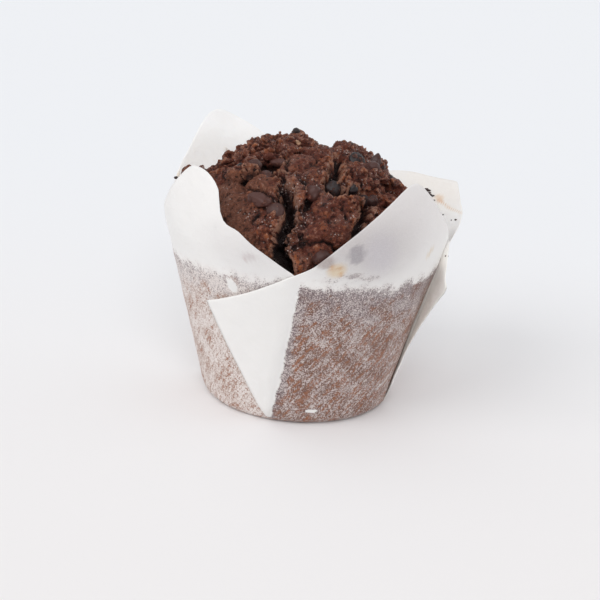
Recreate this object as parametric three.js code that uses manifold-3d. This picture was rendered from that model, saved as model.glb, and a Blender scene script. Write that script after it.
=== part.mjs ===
// Chocolate muffin in a folded tulip paper case.
//
// Units are millimetres, +Z is up, and the origin is the middle of the flat underside of the case.
// Azimuths are in degrees, counter-clockwise seen from above, with -90 at the front.
//
// The case is one square sheet of greaseproof paper pressed into a cup: a round base, a flared wall,
// four corners standing up as petals, and four pleats that take up the spare paper. Every pleat folds
// the same way: its flap belongs to the petal on its counter-clockwise side and points clockwise.
// The cake fills the cup and rises out of it as a craggy dome with chocolate drops baked in.

import * as THREE from 'three';
import * as BufferGeometryUtils from 'three/addons/utils/BufferGeometryUtils.js';
import Module from 'manifold-3d';

// ---------------------------------------------------------------- driving dimensions, paper case
const BASE_RADIUS = 26.5;          // where the line of the wall would meet the table
const FLARE = THREE.MathUtils.degToRad(14.9);  // lean of the wall from the vertical
const FOOT_FILLET = 3.2;           // rounding between the base and the wall
const PAPER = 0.4;                 // wall thickness of the solid
const FLAP_PAPER = 0.7;            // a flap is two layers of paper
const FLAP_ROOT = 5;               // height up the wall at which a flap begins
const FLAP_REACH = 38;             // height up the wall of a flap's free tip
const CONE_REACH = BASE_RADIUS / Math.sin(FLARE);  // slant distance from the cone's apex to the base

// A pleat: azimuth of its root, slope of its free fold and of its hidden fold against the wall's
// own straight lines, and how far its free fold stands off the wall, growing by a power of the
// height up the wall.
const PLEATS = {
  front: { root: -105, freeFold: 0.5, hiddenFold: 0.16, lift: 1.1, power: 1.5 },
  left: { root: -196, freeFold: 0.5, hiddenFold: 0.16, lift: 2.2, power: 1.5 },
  back: { root: -287, freeFold: 0.5, hiddenFold: 0.16, lift: 3.0, power: 1.5 },
  right: { root: -379, freeFold: 0.07, hiddenFold: 0.16, lift: 4.4, power: 2.5 },
};
const LIFT_AT = 36;                // height up the wall at which a flap has its full lift
const LIFT_TOP = 40;               // height up the wall above which the lift grows no more

// A petal: azimuth of its corner, slant height of the corner, slope of its edges, rounding of its
// tip, a shoulder that swells one edge, and the bend of the sheet, outwards (+1) or inwards (-1).
// A shoulder: place from the axis, rise, widths before and past it, squareness, the dip that
// follows it, and the lift and tilt of the edge beyond.
const NO_SHOULDER = { at: 0, rise: 0, before: 1, past: 1, power: 2, dip: 0, lift: 0, tilt: 0 };
const PETALS = [
  { axis: -48.8, corner: 78.9, slope: 1.0, round: 2.6, after: 'front',
    shoulder: NO_SHOULDER,
    bend: { at: 0, start: 50.7, skew: -7.5, radius: 30.6, angle: 9.7, side: -1 } },
  { axis: -140.7, corner: 78.0, slope: 0.97, round: 3.6, after: 'left',
    shoulder: { at: 13.56, rise: 5.24, before: 10.4, past: 1.7, power: 2.7,
      dip: 1.64, lift: 1.23, tilt: 0.54 },
    bend: { at: 0, start: 52.2, skew: -6.4, radius: 38, angle: 15.5, side: -1 } },
  { axis: -232.5, corner: 78.4, slope: 0.91, round: 4.2, after: 'back',
    shoulder: NO_SHOULDER,
    bend: { at: 0, start: 62.8, skew: -5.5, radius: 27.8, angle: 16, side: 1 } },
  { axis: -320.0, corner: 68.5, slope: 0.8, round: 0.7, after: 'right',
    shoulder: NO_SHOULDER,
    bend: { at: -4.7, start: 44.3, skew: -7.5, radius: 12.6, angle: 64.4, side: 1 } },
];

// ---------------------------------------------------------------- driving dimensions, cake
const CAKE_GAP = 0.35;             // clearance between the cake and the paper
const PLUG_SLANT = 44;             // height up the wall of the smooth part of the cake
const RIM_HEIGHT = 44.5;           // of the rim of the smooth dome
const RIM_RADIUS = 38;
const DOME_HEIGHT = 28.5;          // of the dome above its rim
const DOME_POWER = 2.15;           // squareness of the dome's profile
const DOME_SHIFT = -2.1;           // the dome leans a little to -X
const RIM_FADE = THREE.MathUtils.degToRad(8);  // rise of the dome over which its relief sets in
const FLOOR_DEPTH = 3.4;           // how far the valleys between lobes sink
const LOBE_WIDTH = 1.12;           // a lobe's half width over its size
const LOBE_DEPTH = 0.85;           // a lobe's half thickness over its size

// Places where the dome has sunk, from its own axis: x, y, width, depth.
const HOLLOWS = [
  [-23, 3.5, 7, 3.4], [-26, 17, 10, 4.6], [-11, 9, 6, 1.4], [27, 12, 11, 1.7], [7, 12, 5, 4.4],
  [8.5, 20.5, 6, 3], [28, 12, 5.5, 2.8], [31, 3, 6, 1.7],
];
// Lobes of the crust: azimuth, distance from the dome's axis, size, rise above the dome.
const LOBES = [
  [-138, 27.4, 3.6, 0.3], [-129, 30.8, 4.2, 0.5], [-119, 33.7, 4.6, 0.6], [-113, 34.9, 3.6, 0.4],
  [-119, 23, 4.8, 0.9], [-107, 36.4, 3.2, 0.3], [-144, 31.5, 4, 0], [-133, 35, 4, 0.2],
  [-116, 28.1, 4.9, 1.2], [-102, 29.9, 3.4, 0.9], [-106, 33.7, 4.4, 1.4], [-101.5, 34.2, 2.6, 1],
  [-67, 27.6, 5.8, 1.4], [-81, 33.1, 3.9, 1.6], [-70, 32.9, 4.3, 1.5], [-80, 35.5, 3.4, 0.8],
  [-60, 31, 3.4, 1], [-77, 29.1, 3.9, 1.2], [-88, 30.7, 2.9, -0.4], [-91, 33.8, 3, -0.2],
  [-93.5, 35.7, 2.2, -0.4], [-88.5, 37.2, 3.6, 0.8], [-95, 12, 5.3, 1.8], [-45, 7.3, 4.4, 2.2],
  [-79, 18.1, 3.9, 1.8], [105, 6.3, 4.4, 2.4], [-64, 14.5, 2.9, 1.8], [-96, 20.5, 2.9, 0.6],
  [-144, 5.6, 3.4, 1.5], [102, 13, 3.1, 2.4], [-46, 15.5, 2.9, 0.8], [-34, 21.2, 4.9, 1.4],
  [42, 16.3, 3.9, 1.6], [27, 21.3, 3.4, 1.1], [-13, 22.8, 2.9, 0.5], [-11, 27.1, 3.4, 0.5],
  [-51, 23.4, 2.9, 0.2], [-47, 29.7, 3.2, 0.6], [-31, 27.9, 3.4, 0.3], [153, 19.1, 2.9, 0.9],
  [-172, 12.6, 3.4, 0.8], [174, 19.7, 2.7, 0.6], [168, 9.1, 3.4, 0.7], [-137, 11.6, 2.4, 0.6],
  [-144, 20.3, 2.9, 0.6], [-110, 18.1, 2.9, 0.7], [-176, 26.2, 2.4, 0.6], [-155, 24.2, 2.9, 0.6],
  [-150, 26.6, 2.4, 0.5], [118, 12.9, 2.9, 0.6], [60, 21.7, 3, 1.2], [135, 25.6, 3.2, 1.3],
  [163, 33.4, 2.6, 1.4], [-179, 30.5, 2.6, 4], [-176, 28.6, 2.4, 2.4], [128, 23.5, 3, 2.5],
  [33, 13.6, 3.2, 2.8], [-177, 27, 2.2, 1.4],
];
// Splits in the crust: places along each as azimuth and distance, half width and depth.
const CRACKS = [
  { half: 1.3, depth: 8.5, line: [
    [-103, 22.8], [-97, 25.7], [-96, 29.6], [-95, 31.6], [-98, 34.1], [-99, 35.8], [-96, 36.9],
    [-93, 37.6],
  ] },
  { half: 1, depth: 4.2, line: [
    [-20, 8], [-50, 12], [-60, 16], [-72, 21], [-70, 23.9], [-60, 24.5], [-51, 25.6], [-50, 28],
    [-55, 31.2], [-62, 34],
  ] },
  { half: 0.8, depth: 2.4, line: [
    [-132, 22.8], [-122, 17.2], [-108, 19.6], [-103, 22.3],
  ] },
];
const CRACK_FLOOR = 0.35;          // half width of a split's floor over its half width
const CRACK_BRIM = 1.6;            // half width of its brim over its half width
// Chocolate drops: azimuth, distance from the dome's axis, half width, thickness over half width.
const DROPS = [
  [-135, 18.9, 1.8, 1], [-124, 11.9, 2.4, 0.45], [-113, 28.2, 3.1, 0.55], [-103, 29.8, 2.7, 0.6],
  [-146, 20.7, 2.3, 0.5], [145, 11.1, 1.2, 0.85], [103, 12.4, 1.2, 0.85], [-79, 22, 2.1, 1],
  [-57, 17.9, 2.3, 0.75], [-58, 23.5, 1.5, 0.85], [-26, 15.8, 2.6, 0.6], [32, 14.6, 1.5, 0.85],
  [10, 20.1, 1.5, 1.4], [6, 22, 1.2, 1.5], [-22, 20.2, 2.1, 0.9], [-11, 24.5, 1, 0.85],
  [-49, 26.5, 1.6, 0.85], [-45, 27.7, 1.7, 0.85], [-80, 36.5, 2.5, 0.6], [5, 24.8, 1, 0.85],
  [-120, 20.3, 1.9, 0.4],
];
const DROP_SUNK = 0.4;             // share of a drop's thickness that lies under the crust

// Lobes and drops of the far side, scattered by a seed until every place is near one.
const MORE_LOBES = { seed: 11, tries: 2500, arc: [-20, 205], reach: 37, spacing: 4.9,
  sizes: [3.0, 5.2], rises: [0.2, 1.8], crownRises: [0.2, 0.8], crownEdge: 24 };
const MORE_DROPS = { seed: 9, tries: 400, arc: [-15, 200], reach: 36, spacing: 5.5,
  sizes: [1.5, 2.6], flats: [0.5, 1.0], facing: -0.3 };
const INNERMOST = 0.02;            // least share of the dome's area inside a scattered place
const FRONT = [0, -0.92, 0.39];    // the way the side that the named drops cover looks

const WALL_COLUMNS = 76;
const WALL_ROWS = 8;
const CAKE_COLUMNS = 90;
const DOME_ROWS = 26;

// ---------------------------------------------------------------- small helpers
const rad = THREE.MathUtils.degToRad;
const deg = THREE.MathUtils.radToDeg;
const mix = (a, b, t) => a + (b - a) * t;
const clamp01 = (x) => Math.min(1, Math.max(0, x));
const smooth = (x) => clamp01(x) ** 2 * (3 - 2 * clamp01(x));

/** Seeded random numbers between two limits. */
function randomSource(seed) {
  let state = BigInt(seed);
  return (low, high) => {
    state = (state * 1664525n + 1013904223n) % 4294967296n;
    return mix(low, high, Number(state) / 2 ** 32);
  };
}

// ---------------------------------------------------------------- the paper's surface
/** Radius, height and outward normal of the cup at a distance along its profile. */
function cupProfile(slant) {
  const turn = Math.PI / 2 - FLARE;
  const tangent = FOOT_FILLET * Math.tan(turn / 2);
  if (slant <= -tangent) return { r: BASE_RADIUS + slant, z: 0, nr: 0, nz: -1 };
  if (slant < tangent) {
    const angle = (slant + tangent) / (2 * tangent) * turn;
    return {
      r: BASE_RADIUS - tangent + FOOT_FILLET * Math.sin(angle),
      z: FOOT_FILLET * (1 - Math.cos(angle)),
      nr: Math.sin(angle), nz: -Math.cos(angle),
    };
  }
  return {
    r: BASE_RADIUS + slant * Math.sin(FLARE), z: slant * Math.cos(FLARE),
    nr: Math.cos(FLARE), nz: -Math.sin(FLARE),
  };
}

/** Azimuth of a fold line that leaves the pleat's root at a given slope. */
function foldAzimuth(root, slope, slant) {
  const s = Math.max(slant, 0);
  return root + deg(Math.atan(slope * s / (CONE_REACH + s))) / Math.sin(FLARE);
}
const hiddenFold = (pleat, slant) => foldAzimuth(pleat.root, pleat.hiddenFold, slant);
const freeFold = (pleat, slant) => foldAzimuth(pleat.root, -pleat.freeFold, slant);

/** How far a shoulder raises the edge at an azimuth from the petal's axis. */
function shoulderSwell(shoulder, azimuth) {
  const past = azimuth - shoulder.at;
  const width = past < 0 ? shoulder.before : shoulder.past;
  return shoulder.rise * Math.exp(-(Math.abs(past / width) ** shoulder.power))
    - shoulder.dip * Math.exp(-(((past - 5) / 4) ** 2))
    + shoulder.lift * smooth(past / 12) - shoulder.tilt * Math.max(past, 0) / 30;
}

/** Slant height of a petal's cut edge, a straight line on the unrolled sheet. */
function petalEdge(petal, azimuth) {
  const psi = rad(azimuth - petal.axis) * Math.sin(FLARE);
  const top = CONE_REACH + petal.corner;
  let reach = 0.85 * top;
  for (let step = 0; step < 12; step += 1) {
    const side = reach * Math.sin(psi);
    const across = Math.hypot(side, petal.round);
    const value = reach * Math.cos(psi) + petal.slope * across - top;
    reach -= value / (Math.cos(psi) + petal.slope * side * Math.sin(psi) / across);
  }
  return reach - CONE_REACH + shoulderSwell(petal.shoulder, azimuth - petal.axis);
}

/** Bend a point of the sheet round a cylinder once it lies past the bend's line. */
function bendPoint(point, petal) {
  const { bend } = petal;
  const azimuth = rad(petal.axis + bend.at);
  const foot = cupProfile(bend.start);
  const origin = new THREE.Vector3(foot.r * Math.cos(azimuth), foot.r * Math.sin(azimuth), foot.z);
  const out = new THREE.Vector3(foot.nr * Math.cos(azimuth), foot.nr * Math.sin(azimuth), foot.nz);
  const up = new THREE.Vector3(Math.sin(FLARE) * Math.cos(azimuth),
    Math.sin(FLARE) * Math.sin(azimuth), Math.cos(FLARE));
  const round = new THREE.Vector3(-Math.sin(azimuth), Math.cos(azimuth), 0);
  const skew = rad(bend.skew);
  const along = up.multiplyScalar(Math.cos(skew)).addScaledVector(round, Math.sin(skew));
  const axle = new THREE.Vector3().crossVectors(out, along);
  out.multiplyScalar(bend.side);
  const offset = point.clone().sub(origin);
  const past = offset.dot(along);
  if (past <= 0) return point;
  const height = offset.dot(out);
  const turn = Math.min(past / bend.radius, rad(bend.angle));
  const rest = past - bend.radius * turn;
  const arm = bend.radius - height;
  return origin.clone()
    .addScaledVector(axle, offset.dot(axle))
    .addScaledVector(out, bend.radius - arm * Math.cos(turn) + rest * Math.sin(turn))
    .addScaledVector(along, arm * Math.sin(turn) + rest * Math.cos(turn));
}

/** A point of the paper: azimuth, slant height, and its distance outside the sheet's outer face. */
function paperPoint(petal, azimuth, slant, offset, lift = 0) {
  const { r, z, nr, nz } = cupProfile(slant);
  const radius = r + offset * nr + lift;
  const point = new THREE.Vector3(radius * Math.cos(rad(azimuth)), radius * Math.sin(rad(azimuth)),
    z + offset * nz);
  return bendPoint(point, petal);
}

// ---------------------------------------------------------------- meshes and solids
/** Join a grid of points into a geometry; rows run across, and each row may close on itself. */
function gridGeometry(rows, closed, caps) {
  const positions = [];
  const indices = [];
  const width = rows[0].length;
  rows.forEach((row) => row.forEach((p) => positions.push(p.x, p.y, p.z)));
  const last = closed ? width : width - 1;
  for (let j = 0; j + 1 < rows.length; j += 1) {
    for (let i = 0; i < last; i += 1) {
      const a = j * width + i;
      const b = j * width + (i + 1) % width;
      indices.push(a, b, b + width, a, b + width, a + width);
    }
  }
  if (caps) {
    const first = positions.length / 3;
    positions.push(caps[0].x, caps[0].y, caps[0].z, caps[1].x, caps[1].y, caps[1].z);
    const end = (rows.length - 1) * width;
    for (let i = 0; i < width; i += 1) {
      const next = (i + 1) % width;
      indices.push(first, next, i, first + 1, end + i, end + next);
    }
  }
  const geometry = new THREE.BufferGeometry();
  geometry.setAttribute('position', new THREE.Float32BufferAttribute(positions, 3));
  geometry.setIndex(indices);
  return geometry;
}

const wasm = await Module();
wasm.setup();

/** A three.js geometry as a manifold solid. */
function toSolid(geometry) {
  const bare = geometry.clone();
  bare.deleteAttribute('normal');
  bare.deleteAttribute('uv');
  const merged = BufferGeometryUtils.mergeVertices(bare, 1e-4);
  return new wasm.Manifold(new wasm.Mesh({
    numProp: 3,
    vertProperties: new Float32Array(merged.attributes.position.array),
    triVerts: new Uint32Array(merged.index.array),
  }));
}

/** A manifold solid's outer skin as a three.js geometry, without any bubble sealed inside it. */
function toGeometry(solid) {
  const skins = solid.decompose().sort((a, b) => b.volume() - a.volume());
  const mesh = skins[0].getMesh();
  const geometry = new THREE.BufferGeometry();
  geometry.setAttribute('position', new THREE.Float32BufferAttribute(mesh.vertProperties, 3));
  geometry.setIndex(Array.from(mesh.triVerts));
  geometry.computeVertexNormals();
  return geometry;
}

// ---------------------------------------------------------------- paper case
/** The petal whose wall lies innermost at an azimuth, with the azimuth in that petal's turn. */
function wallPetal(azimuth, slant) {
  for (const petal of PETALS) {
    const end = hiddenFold(PLEATS[petal.after], slant);
    const before = PETALS[(PETALS.indexOf(petal) + 3) % 4];
    const wrap = before.axis < petal.axis ? 360 : 0;
    const start = hiddenFold(PLEATS[before.after], slant) + wrap;
    for (const turned of [azimuth, azimuth - 360, azimuth + 360]) {
      if (turned > end && turned <= start) return { petal, azimuth: turned };
    }
  }
  throw new Error(`no petal at ${azimuth}`);
}

/** The cup and its petals as a thin shell. */
function caseWall() {
  const columns = Array.from({ length: WALL_COLUMNS }, (_, i) => {
    const found = wallPetal(-19 - 360 * (i + 0.5) / WALL_COLUMNS, FLAP_REACH);
    return { ...found, top: petalEdge(found.petal, found.azimuth) };
  });
  const tangent = FOOT_FILLET * Math.tan((Math.PI / 2 - FLARE) / 2);
  const foot = [-0.5 * BASE_RADIUS, -tangent, -0.35 * tangent, 0.35 * tangent, tangent];
  const ring = (slantAt, offset) => columns.map((c) => (
    paperPoint(c.petal, c.azimuth, slantAt(c), offset)));
  const heights = Array.from({ length: WALL_ROWS }, (_, j) => (j + 1) / WALL_ROWS);
  const levels = [...foot.map((s) => () => s),
    ...heights.map((t) => (c) => mix(tangent, c.top, t))];
  const outer = levels.map((level) => ring(level, 0));
  const inner = levels.map((level) => ring(level, -PAPER)).reverse();
  const rows = [...outer, ...inner].map((row) => [...row].reverse());
  return gridGeometry(rows, true, [new THREE.Vector3(0, 0, 0), new THREE.Vector3(0, 0, PAPER)]);
}

/** One pleat's flap: a curved plate that leaves the wall at the hidden fold. */
function caseFlap(petal) {
  const pleat = PLEATS[petal.after];
  const across = 8;
  const upward = 9;
  const seam = 0.16;                // share of the flap's width that is bonded to the wall
  const tip = petalEdge(petal, freeFold(pleat, FLAP_REACH));
  const point = (u, v, side) => {
    const probe = mix(FLAP_ROOT, tip, v);
    const azimuth = mix(hiddenFold(pleat, probe), freeFold(pleat, probe), u);
    const slant = mix(FLAP_ROOT, petalEdge(petal, azimuth), v);
    const spread = smooth(u / seam);
    const stand = mix(-0.2, 0.32, spread);
    const lift = pleat.lift * (Math.min(slant, LIFT_TOP) / LIFT_AT) ** pleat.power * u ** 1.3;
    const thick = side ? mix(0.3, FLAP_PAPER, spread) : 0;
    return paperPoint(petal, azimuth, slant, stand + thick, lift);
  };
  const rows = [];
  for (let j = 0; j <= upward; j += 1) {
    const row = [];
    for (let i = 0; i <= across; i += 1) row.push(point(i / across, j / upward, 1));
    for (let i = across; i >= 0; i -= 1) row.push(point(i / across, j / upward, 0));
    rows.push(row.reverse());
  }
  return capGrid(rows, across);
}

/** Close a tube of loops whose ends are thin strips, by zipping each end across its width. */
function capGrid(rows, across) {
  const geometry = gridGeometry(rows, true, null);
  const width = rows[0].length;
  const index = Array.from(geometry.index.array);
  const end = (rows.length - 1) * width;
  for (let i = 0; i < across; i += 1) {
    const a = i;
    const b = i + 1;
    const c = width - 1 - i;
    const d = width - 2 - i;
    index.push(a, c, d, a, d, b);
    index.push(end + a, end + b, end + d, end + a, end + d, end + c);
  }
  geometry.setIndex(index);
  return geometry;
}

/** The whole folded sheet. */
function paperCase() {
  let solid = toSolid(caseWall());
  for (const petal of PETALS) solid = solid.add(toSolid(caseFlap(petal)));
  return toGeometry(solid);
}

// ---------------------------------------------------------------- cake
/** The point of the smooth dome at an azimuth and a distance from its axis. */
function domeAt(azimuth, distance) {
  const share = Math.min(1, distance / RIM_RADIUS);
  const x = distance * Math.cos(rad(azimuth));
  const y = distance * Math.sin(rad(azimuth));
  let z = RIM_HEIGHT + DOME_HEIGHT * (1 - share ** DOME_POWER) ** (1 / DOME_POWER);
  for (const [hollowX, hollowY, width, depth] of HOLLOWS) {
    z -= depth * Math.exp(-((x - hollowX) ** 2 + (y - hollowY) ** 2) / width ** 2);
  }
  return new THREE.Vector3(x + DOME_SHIFT, y, z);
}

/** Outward direction of the dome near one of its points. */
function domeNormal(point) {
  const x = point.x - DOME_SHIFT;
  const distance = Math.max(Math.hypot(x, point.y), 1e-6);
  const side = (distance / RIM_RADIUS) ** (DOME_POWER - 1) / RIM_RADIUS;
  const level = Math.max(point.z - RIM_HEIGHT, 0) / DOME_HEIGHT;
  const up = level ** (DOME_POWER - 1) / DOME_HEIGHT;
  return new THREE.Vector3(x / distance * side, point.y / distance * side, up + 1e-6).normalize();
}

/** A lobe or a drop at its place on the dome. */
function onDome(azimuth, distance, sizes) {
  const place = domeAt(azimuth, distance);
  return { ...sizes, place, normal: domeNormal(place) };
}

/** A scattered place on the dome. */
function scattered(random, { arc, reach }) {
  const azimuth = random(...arc);
  return onDome(azimuth, reach * Math.sqrt(random(INNERMOST, 1)), {});
}

/** The named lobes, and as many more as the far side needs. */
function allLobes() {
  const more = MORE_LOBES;
  const random = randomSource(more.seed);
  const placed = LOBES.map(([azimuth, distance, size, rise]) => (
    onDome(azimuth, distance, { size, rise })));
  for (let attempt = 0; attempt < more.tries; attempt += 1) {
    const lobe = scattered(random, more);
    if (placed.every((other) => other.place.distanceTo(lobe.place) > more.spacing)) {
      lobe.size = random(...more.sizes);
      lobe.rise = random(...(lobe.place.y < more.crownEdge ? more.crownRises : more.rises));
      placed.push(lobe);
    }
  }
  return placed;
}

/** The named drops, and more where the dome faces the back. */
function allDrops() {
  const more = MORE_DROPS;
  const random = randomSource(more.seed);
  const front = new THREE.Vector3(...FRONT);
  const placed = DROPS.map(([azimuth, distance, size, flat]) => (
    onDome(azimuth, distance, { size, flat })));
  for (let attempt = 0; attempt < more.tries; attempt += 1) {
    const drop = scattered(random, more);
    const clear = placed.every((other) => other.place.distanceTo(drop.place) > more.spacing);
    if (clear && drop.normal.dot(front) < more.facing) {
      drop.size = random(...more.sizes);
      drop.flat = random(...more.flats);
      placed.push(drop);
    }
  }
  return placed;
}

const lobes = allLobes();
const splits = CRACKS.map(({ half, depth, line }) => (
  { half, depth, knots: line.map(([azimuth, distance]) => domeAt(azimuth, distance)) }));

/** How deep the splits run at a point of the dome. */
function crackDepth(point) {
  let deepest = 0;
  for (const { half, depth, knots } of splits) {
    let nearest = Infinity;
    for (let i = 0; i + 1 < knots.length; i += 1) {
      const line = new THREE.Line3(knots[i], knots[i + 1]);
      const closest = line.closestPointToPoint(point, true, new THREE.Vector3());
      nearest = Math.min(nearest, closest.distanceTo(point));
    }
    const open = 1 - smooth((nearest / half - CRACK_FLOOR) / (CRACK_BRIM - CRACK_FLOOR));
    deepest = Math.max(deepest, depth * open);
  }
  return deepest;
}

/** How far the crust stands out from, or sinks below, a point of the smooth dome. */
function crustRelief(point) {
  let swell = -FLOOR_DEPTH;
  for (const { place, normal, size, rise } of lobes) {
    const offset = point.clone().sub(place);
    const through = offset.dot(normal);
    const aside = Math.sqrt(Math.max(offset.lengthSq() - through ** 2, 0)) / (LOBE_WIDTH * size);
    if (aside < 1) {
      const cap = LOBE_DEPTH * size * (1 - Math.sqrt(1 - aside ** 2));
      swell = Math.max(swell, rise - cap - through);
    }
  }
  return swell - crackDepth(point);
}

/** Pull a point of the crust back inside the flared wall. */
function keepInside(point) {
  const limit = BASE_RADIUS + point.z * Math.tan(FLARE) - 1.1 * PAPER - 2 * CAKE_GAP;
  const radius = Math.hypot(point.x, point.y);
  if (radius > limit) {
    point.x *= limit / radius;
    point.y *= limit / radius;
  }
  return point;
}

/** The cake: a plug that fits the cup, under a dome of lobes and cracks. */
function cakeBody() {
  const inset = PAPER + CAKE_GAP;
  const tangent = FOOT_FILLET * Math.tan((Math.PI / 2 - FLARE) / 2);
  const wallRow = (slant) => Array.from({ length: CAKE_COLUMNS }, (_, i) => {
    const { r, z, nr, nz } = cupProfile(slant);
    const azimuth = rad(360 * i / CAKE_COLUMNS);
    const radius = r - inset * nr;
    return new THREE.Vector3(radius * Math.cos(azimuth), radius * Math.sin(azimuth), z - inset * nz);
  });
  const rows = [-tangent, 0, tangent, 0.45 * PLUG_SLANT, PLUG_SLANT].map(wallRow);
  for (let j = 1; j < DOME_ROWS; j += 1) {
    const elevation = Math.PI / 2 * j / DOME_ROWS;
    const distance = RIM_RADIUS * Math.cos(elevation) ** (2 / DOME_POWER);
    const fade = smooth(elevation / RIM_FADE);
    rows.push(Array.from({ length: CAKE_COLUMNS }, (_, i) => {
      const point = domeAt(360 * i / CAKE_COLUMNS, distance);
      point.addScaledVector(domeNormal(point), crustRelief(point) * fade);
      return keepInside(point);
    }));
  }
  const apex = domeAt(0, 0);
  apex.z += crustRelief(apex);
  return gridGeometry(rows, true, [new THREE.Vector3(0, 0, inset), apex]);
}

/** One chocolate drop: a rounded pebble with a low point, standing along +Z. */
function dropGeometry(size, flat) {
  const outline = [[0, -1], [0.8, -0.55], [1, 0], [0.72, 0.66], [0, 1.2]];
  const lathe = new THREE.LatheGeometry(outline.map(([x, y]) => (
    new THREE.Vector2(x * size, y * size * flat))), 6);
  return lathe.rotateX(Math.PI / 2);
}

/** The cake with its drops fused on. */
function muffin() {
  let solid = toSolid(cakeBody());
  for (const { place, normal, size, flat } of allDrops()) {
    const height = crustRelief(place) - DROP_SUNK * size * flat;
    const middle = place.clone().addScaledVector(normal, height);
    const turn = new THREE.Quaternion().setFromUnitVectors(new THREE.Vector3(0, 0, 1), normal);
    const placed = dropGeometry(size, flat).applyQuaternion(turn)
      .translate(middle.x, middle.y, middle.z);
    solid = solid.add(toSolid(placed));
  }
  return toGeometry(solid);
}

// ---------------------------------------------------------------- the part
const paperWhite = new THREE.MeshStandardMaterial({
  color: 0xece6e1, roughness: 0.75, metalness: 0, side: THREE.DoubleSide });
const chocolateCrumb = new THREE.MeshStandardMaterial({
  color: 0x452a22, roughness: 0.85, metalness: 0 });

const group = new THREE.Group();
const caseMesh = new THREE.Mesh(paperCase(), paperWhite);
caseMesh.name = 'paper_case';
const cakeMesh = new THREE.Mesh(muffin(), chocolateCrumb);
cakeMesh.name = 'muffin';
group.add(caseMesh, cakeMesh);

export default group;
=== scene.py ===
"""A chocolate muffin baked in one folded sheet of greaseproof paper, on a pale studio floor.

Lengths are in millimetres up to the point where a mesh is made, and azimuths are in degrees
round +Z, with -90 facing the front.
"""

import logging
import math
from dataclasses import dataclass, field
from enum import Enum, IntEnum

import bmesh
import bpy
import numpy as np
from mathutils import Matrix, Vector
from mathutils.bvhtree import BVHTree


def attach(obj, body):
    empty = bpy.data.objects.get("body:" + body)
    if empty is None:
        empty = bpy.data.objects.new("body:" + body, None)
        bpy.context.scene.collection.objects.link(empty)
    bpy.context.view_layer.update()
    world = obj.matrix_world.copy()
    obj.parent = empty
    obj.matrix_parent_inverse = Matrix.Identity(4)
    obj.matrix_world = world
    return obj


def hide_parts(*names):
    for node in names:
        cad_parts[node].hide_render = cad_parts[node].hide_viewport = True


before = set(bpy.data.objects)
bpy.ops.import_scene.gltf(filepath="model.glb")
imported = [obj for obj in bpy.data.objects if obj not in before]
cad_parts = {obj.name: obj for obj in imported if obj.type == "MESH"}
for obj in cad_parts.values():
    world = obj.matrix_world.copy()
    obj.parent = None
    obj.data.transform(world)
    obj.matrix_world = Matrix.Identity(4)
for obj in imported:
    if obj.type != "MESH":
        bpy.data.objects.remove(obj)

LOG = logging.getLogger("muffin")
MM = 0.001
ROOT = "root"
BASE_RADIUS = 26.5       # of the case, at the corner between base and wall
WIDENING = 0.257         # growth of the case's radius a millimetre up its wall
Array = np.ndarray


# ---------------------------------------------------------------- numbers
def smooth(x: Array, low: float = 0.0, high: float = 1.0) -> Array:
    """An S-shaped step that rises from 0 at low to 1 at high."""
    t = np.clip((np.asarray(x, float) - low) / (high - low), 0.0, 1.0)
    return t * t * (3.0 - 2.0 * t)


def mix(a: Array, b: Array, t: Array) -> Array:
    """The value that lies a share t of the way from a to b."""
    return a + (b - a) * t


def unit(v: Array) -> Array:
    """Vectors of length one along the last axis."""
    return v / np.maximum(np.linalg.norm(v, axis=-1, keepdims=True), 1e-9)


def polar(azimuth: Array, radius: Array, z: Array) -> Array:
    """Points from azimuth in degrees, distance from the axis and height."""
    a = np.radians(azimuth)
    return np.stack(np.broadcast_arrays(radius * np.cos(a), radius * np.sin(a), z), axis=-1)


def linear(red: int, green: int, blue: int) -> tuple[float, float, float, float]:
    """A scene-linear colour from display values of 0 to 255.

    Args:
        red: The red value.
        green: The green value.
        blue: The blue value.

    Returns:
        Red, green, blue and an alpha of 1.
    """
    def channel(value: int) -> float:
        """One value, without its display curve."""
        v = value / 255.0
        return v / 12.92 if v <= 0.04045 else ((v + 0.055) / 1.055) ** 2.4
    return channel(red), channel(green), channel(blue), 1.0


def basis_on(normal: Array, hint: Array | list[float]) -> Array:
    """Three square axes, the last along a normal and the first square to a hint."""
    side = unit(np.cross(normal, hint))
    return np.stack([side, np.cross(normal, side), normal])


def clearance(place: Array, others: list[Array]) -> float:
    """How far a point is from the nearest of others."""
    return np.min(np.linalg.norm(np.array(others) - place, axis=1))


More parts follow.
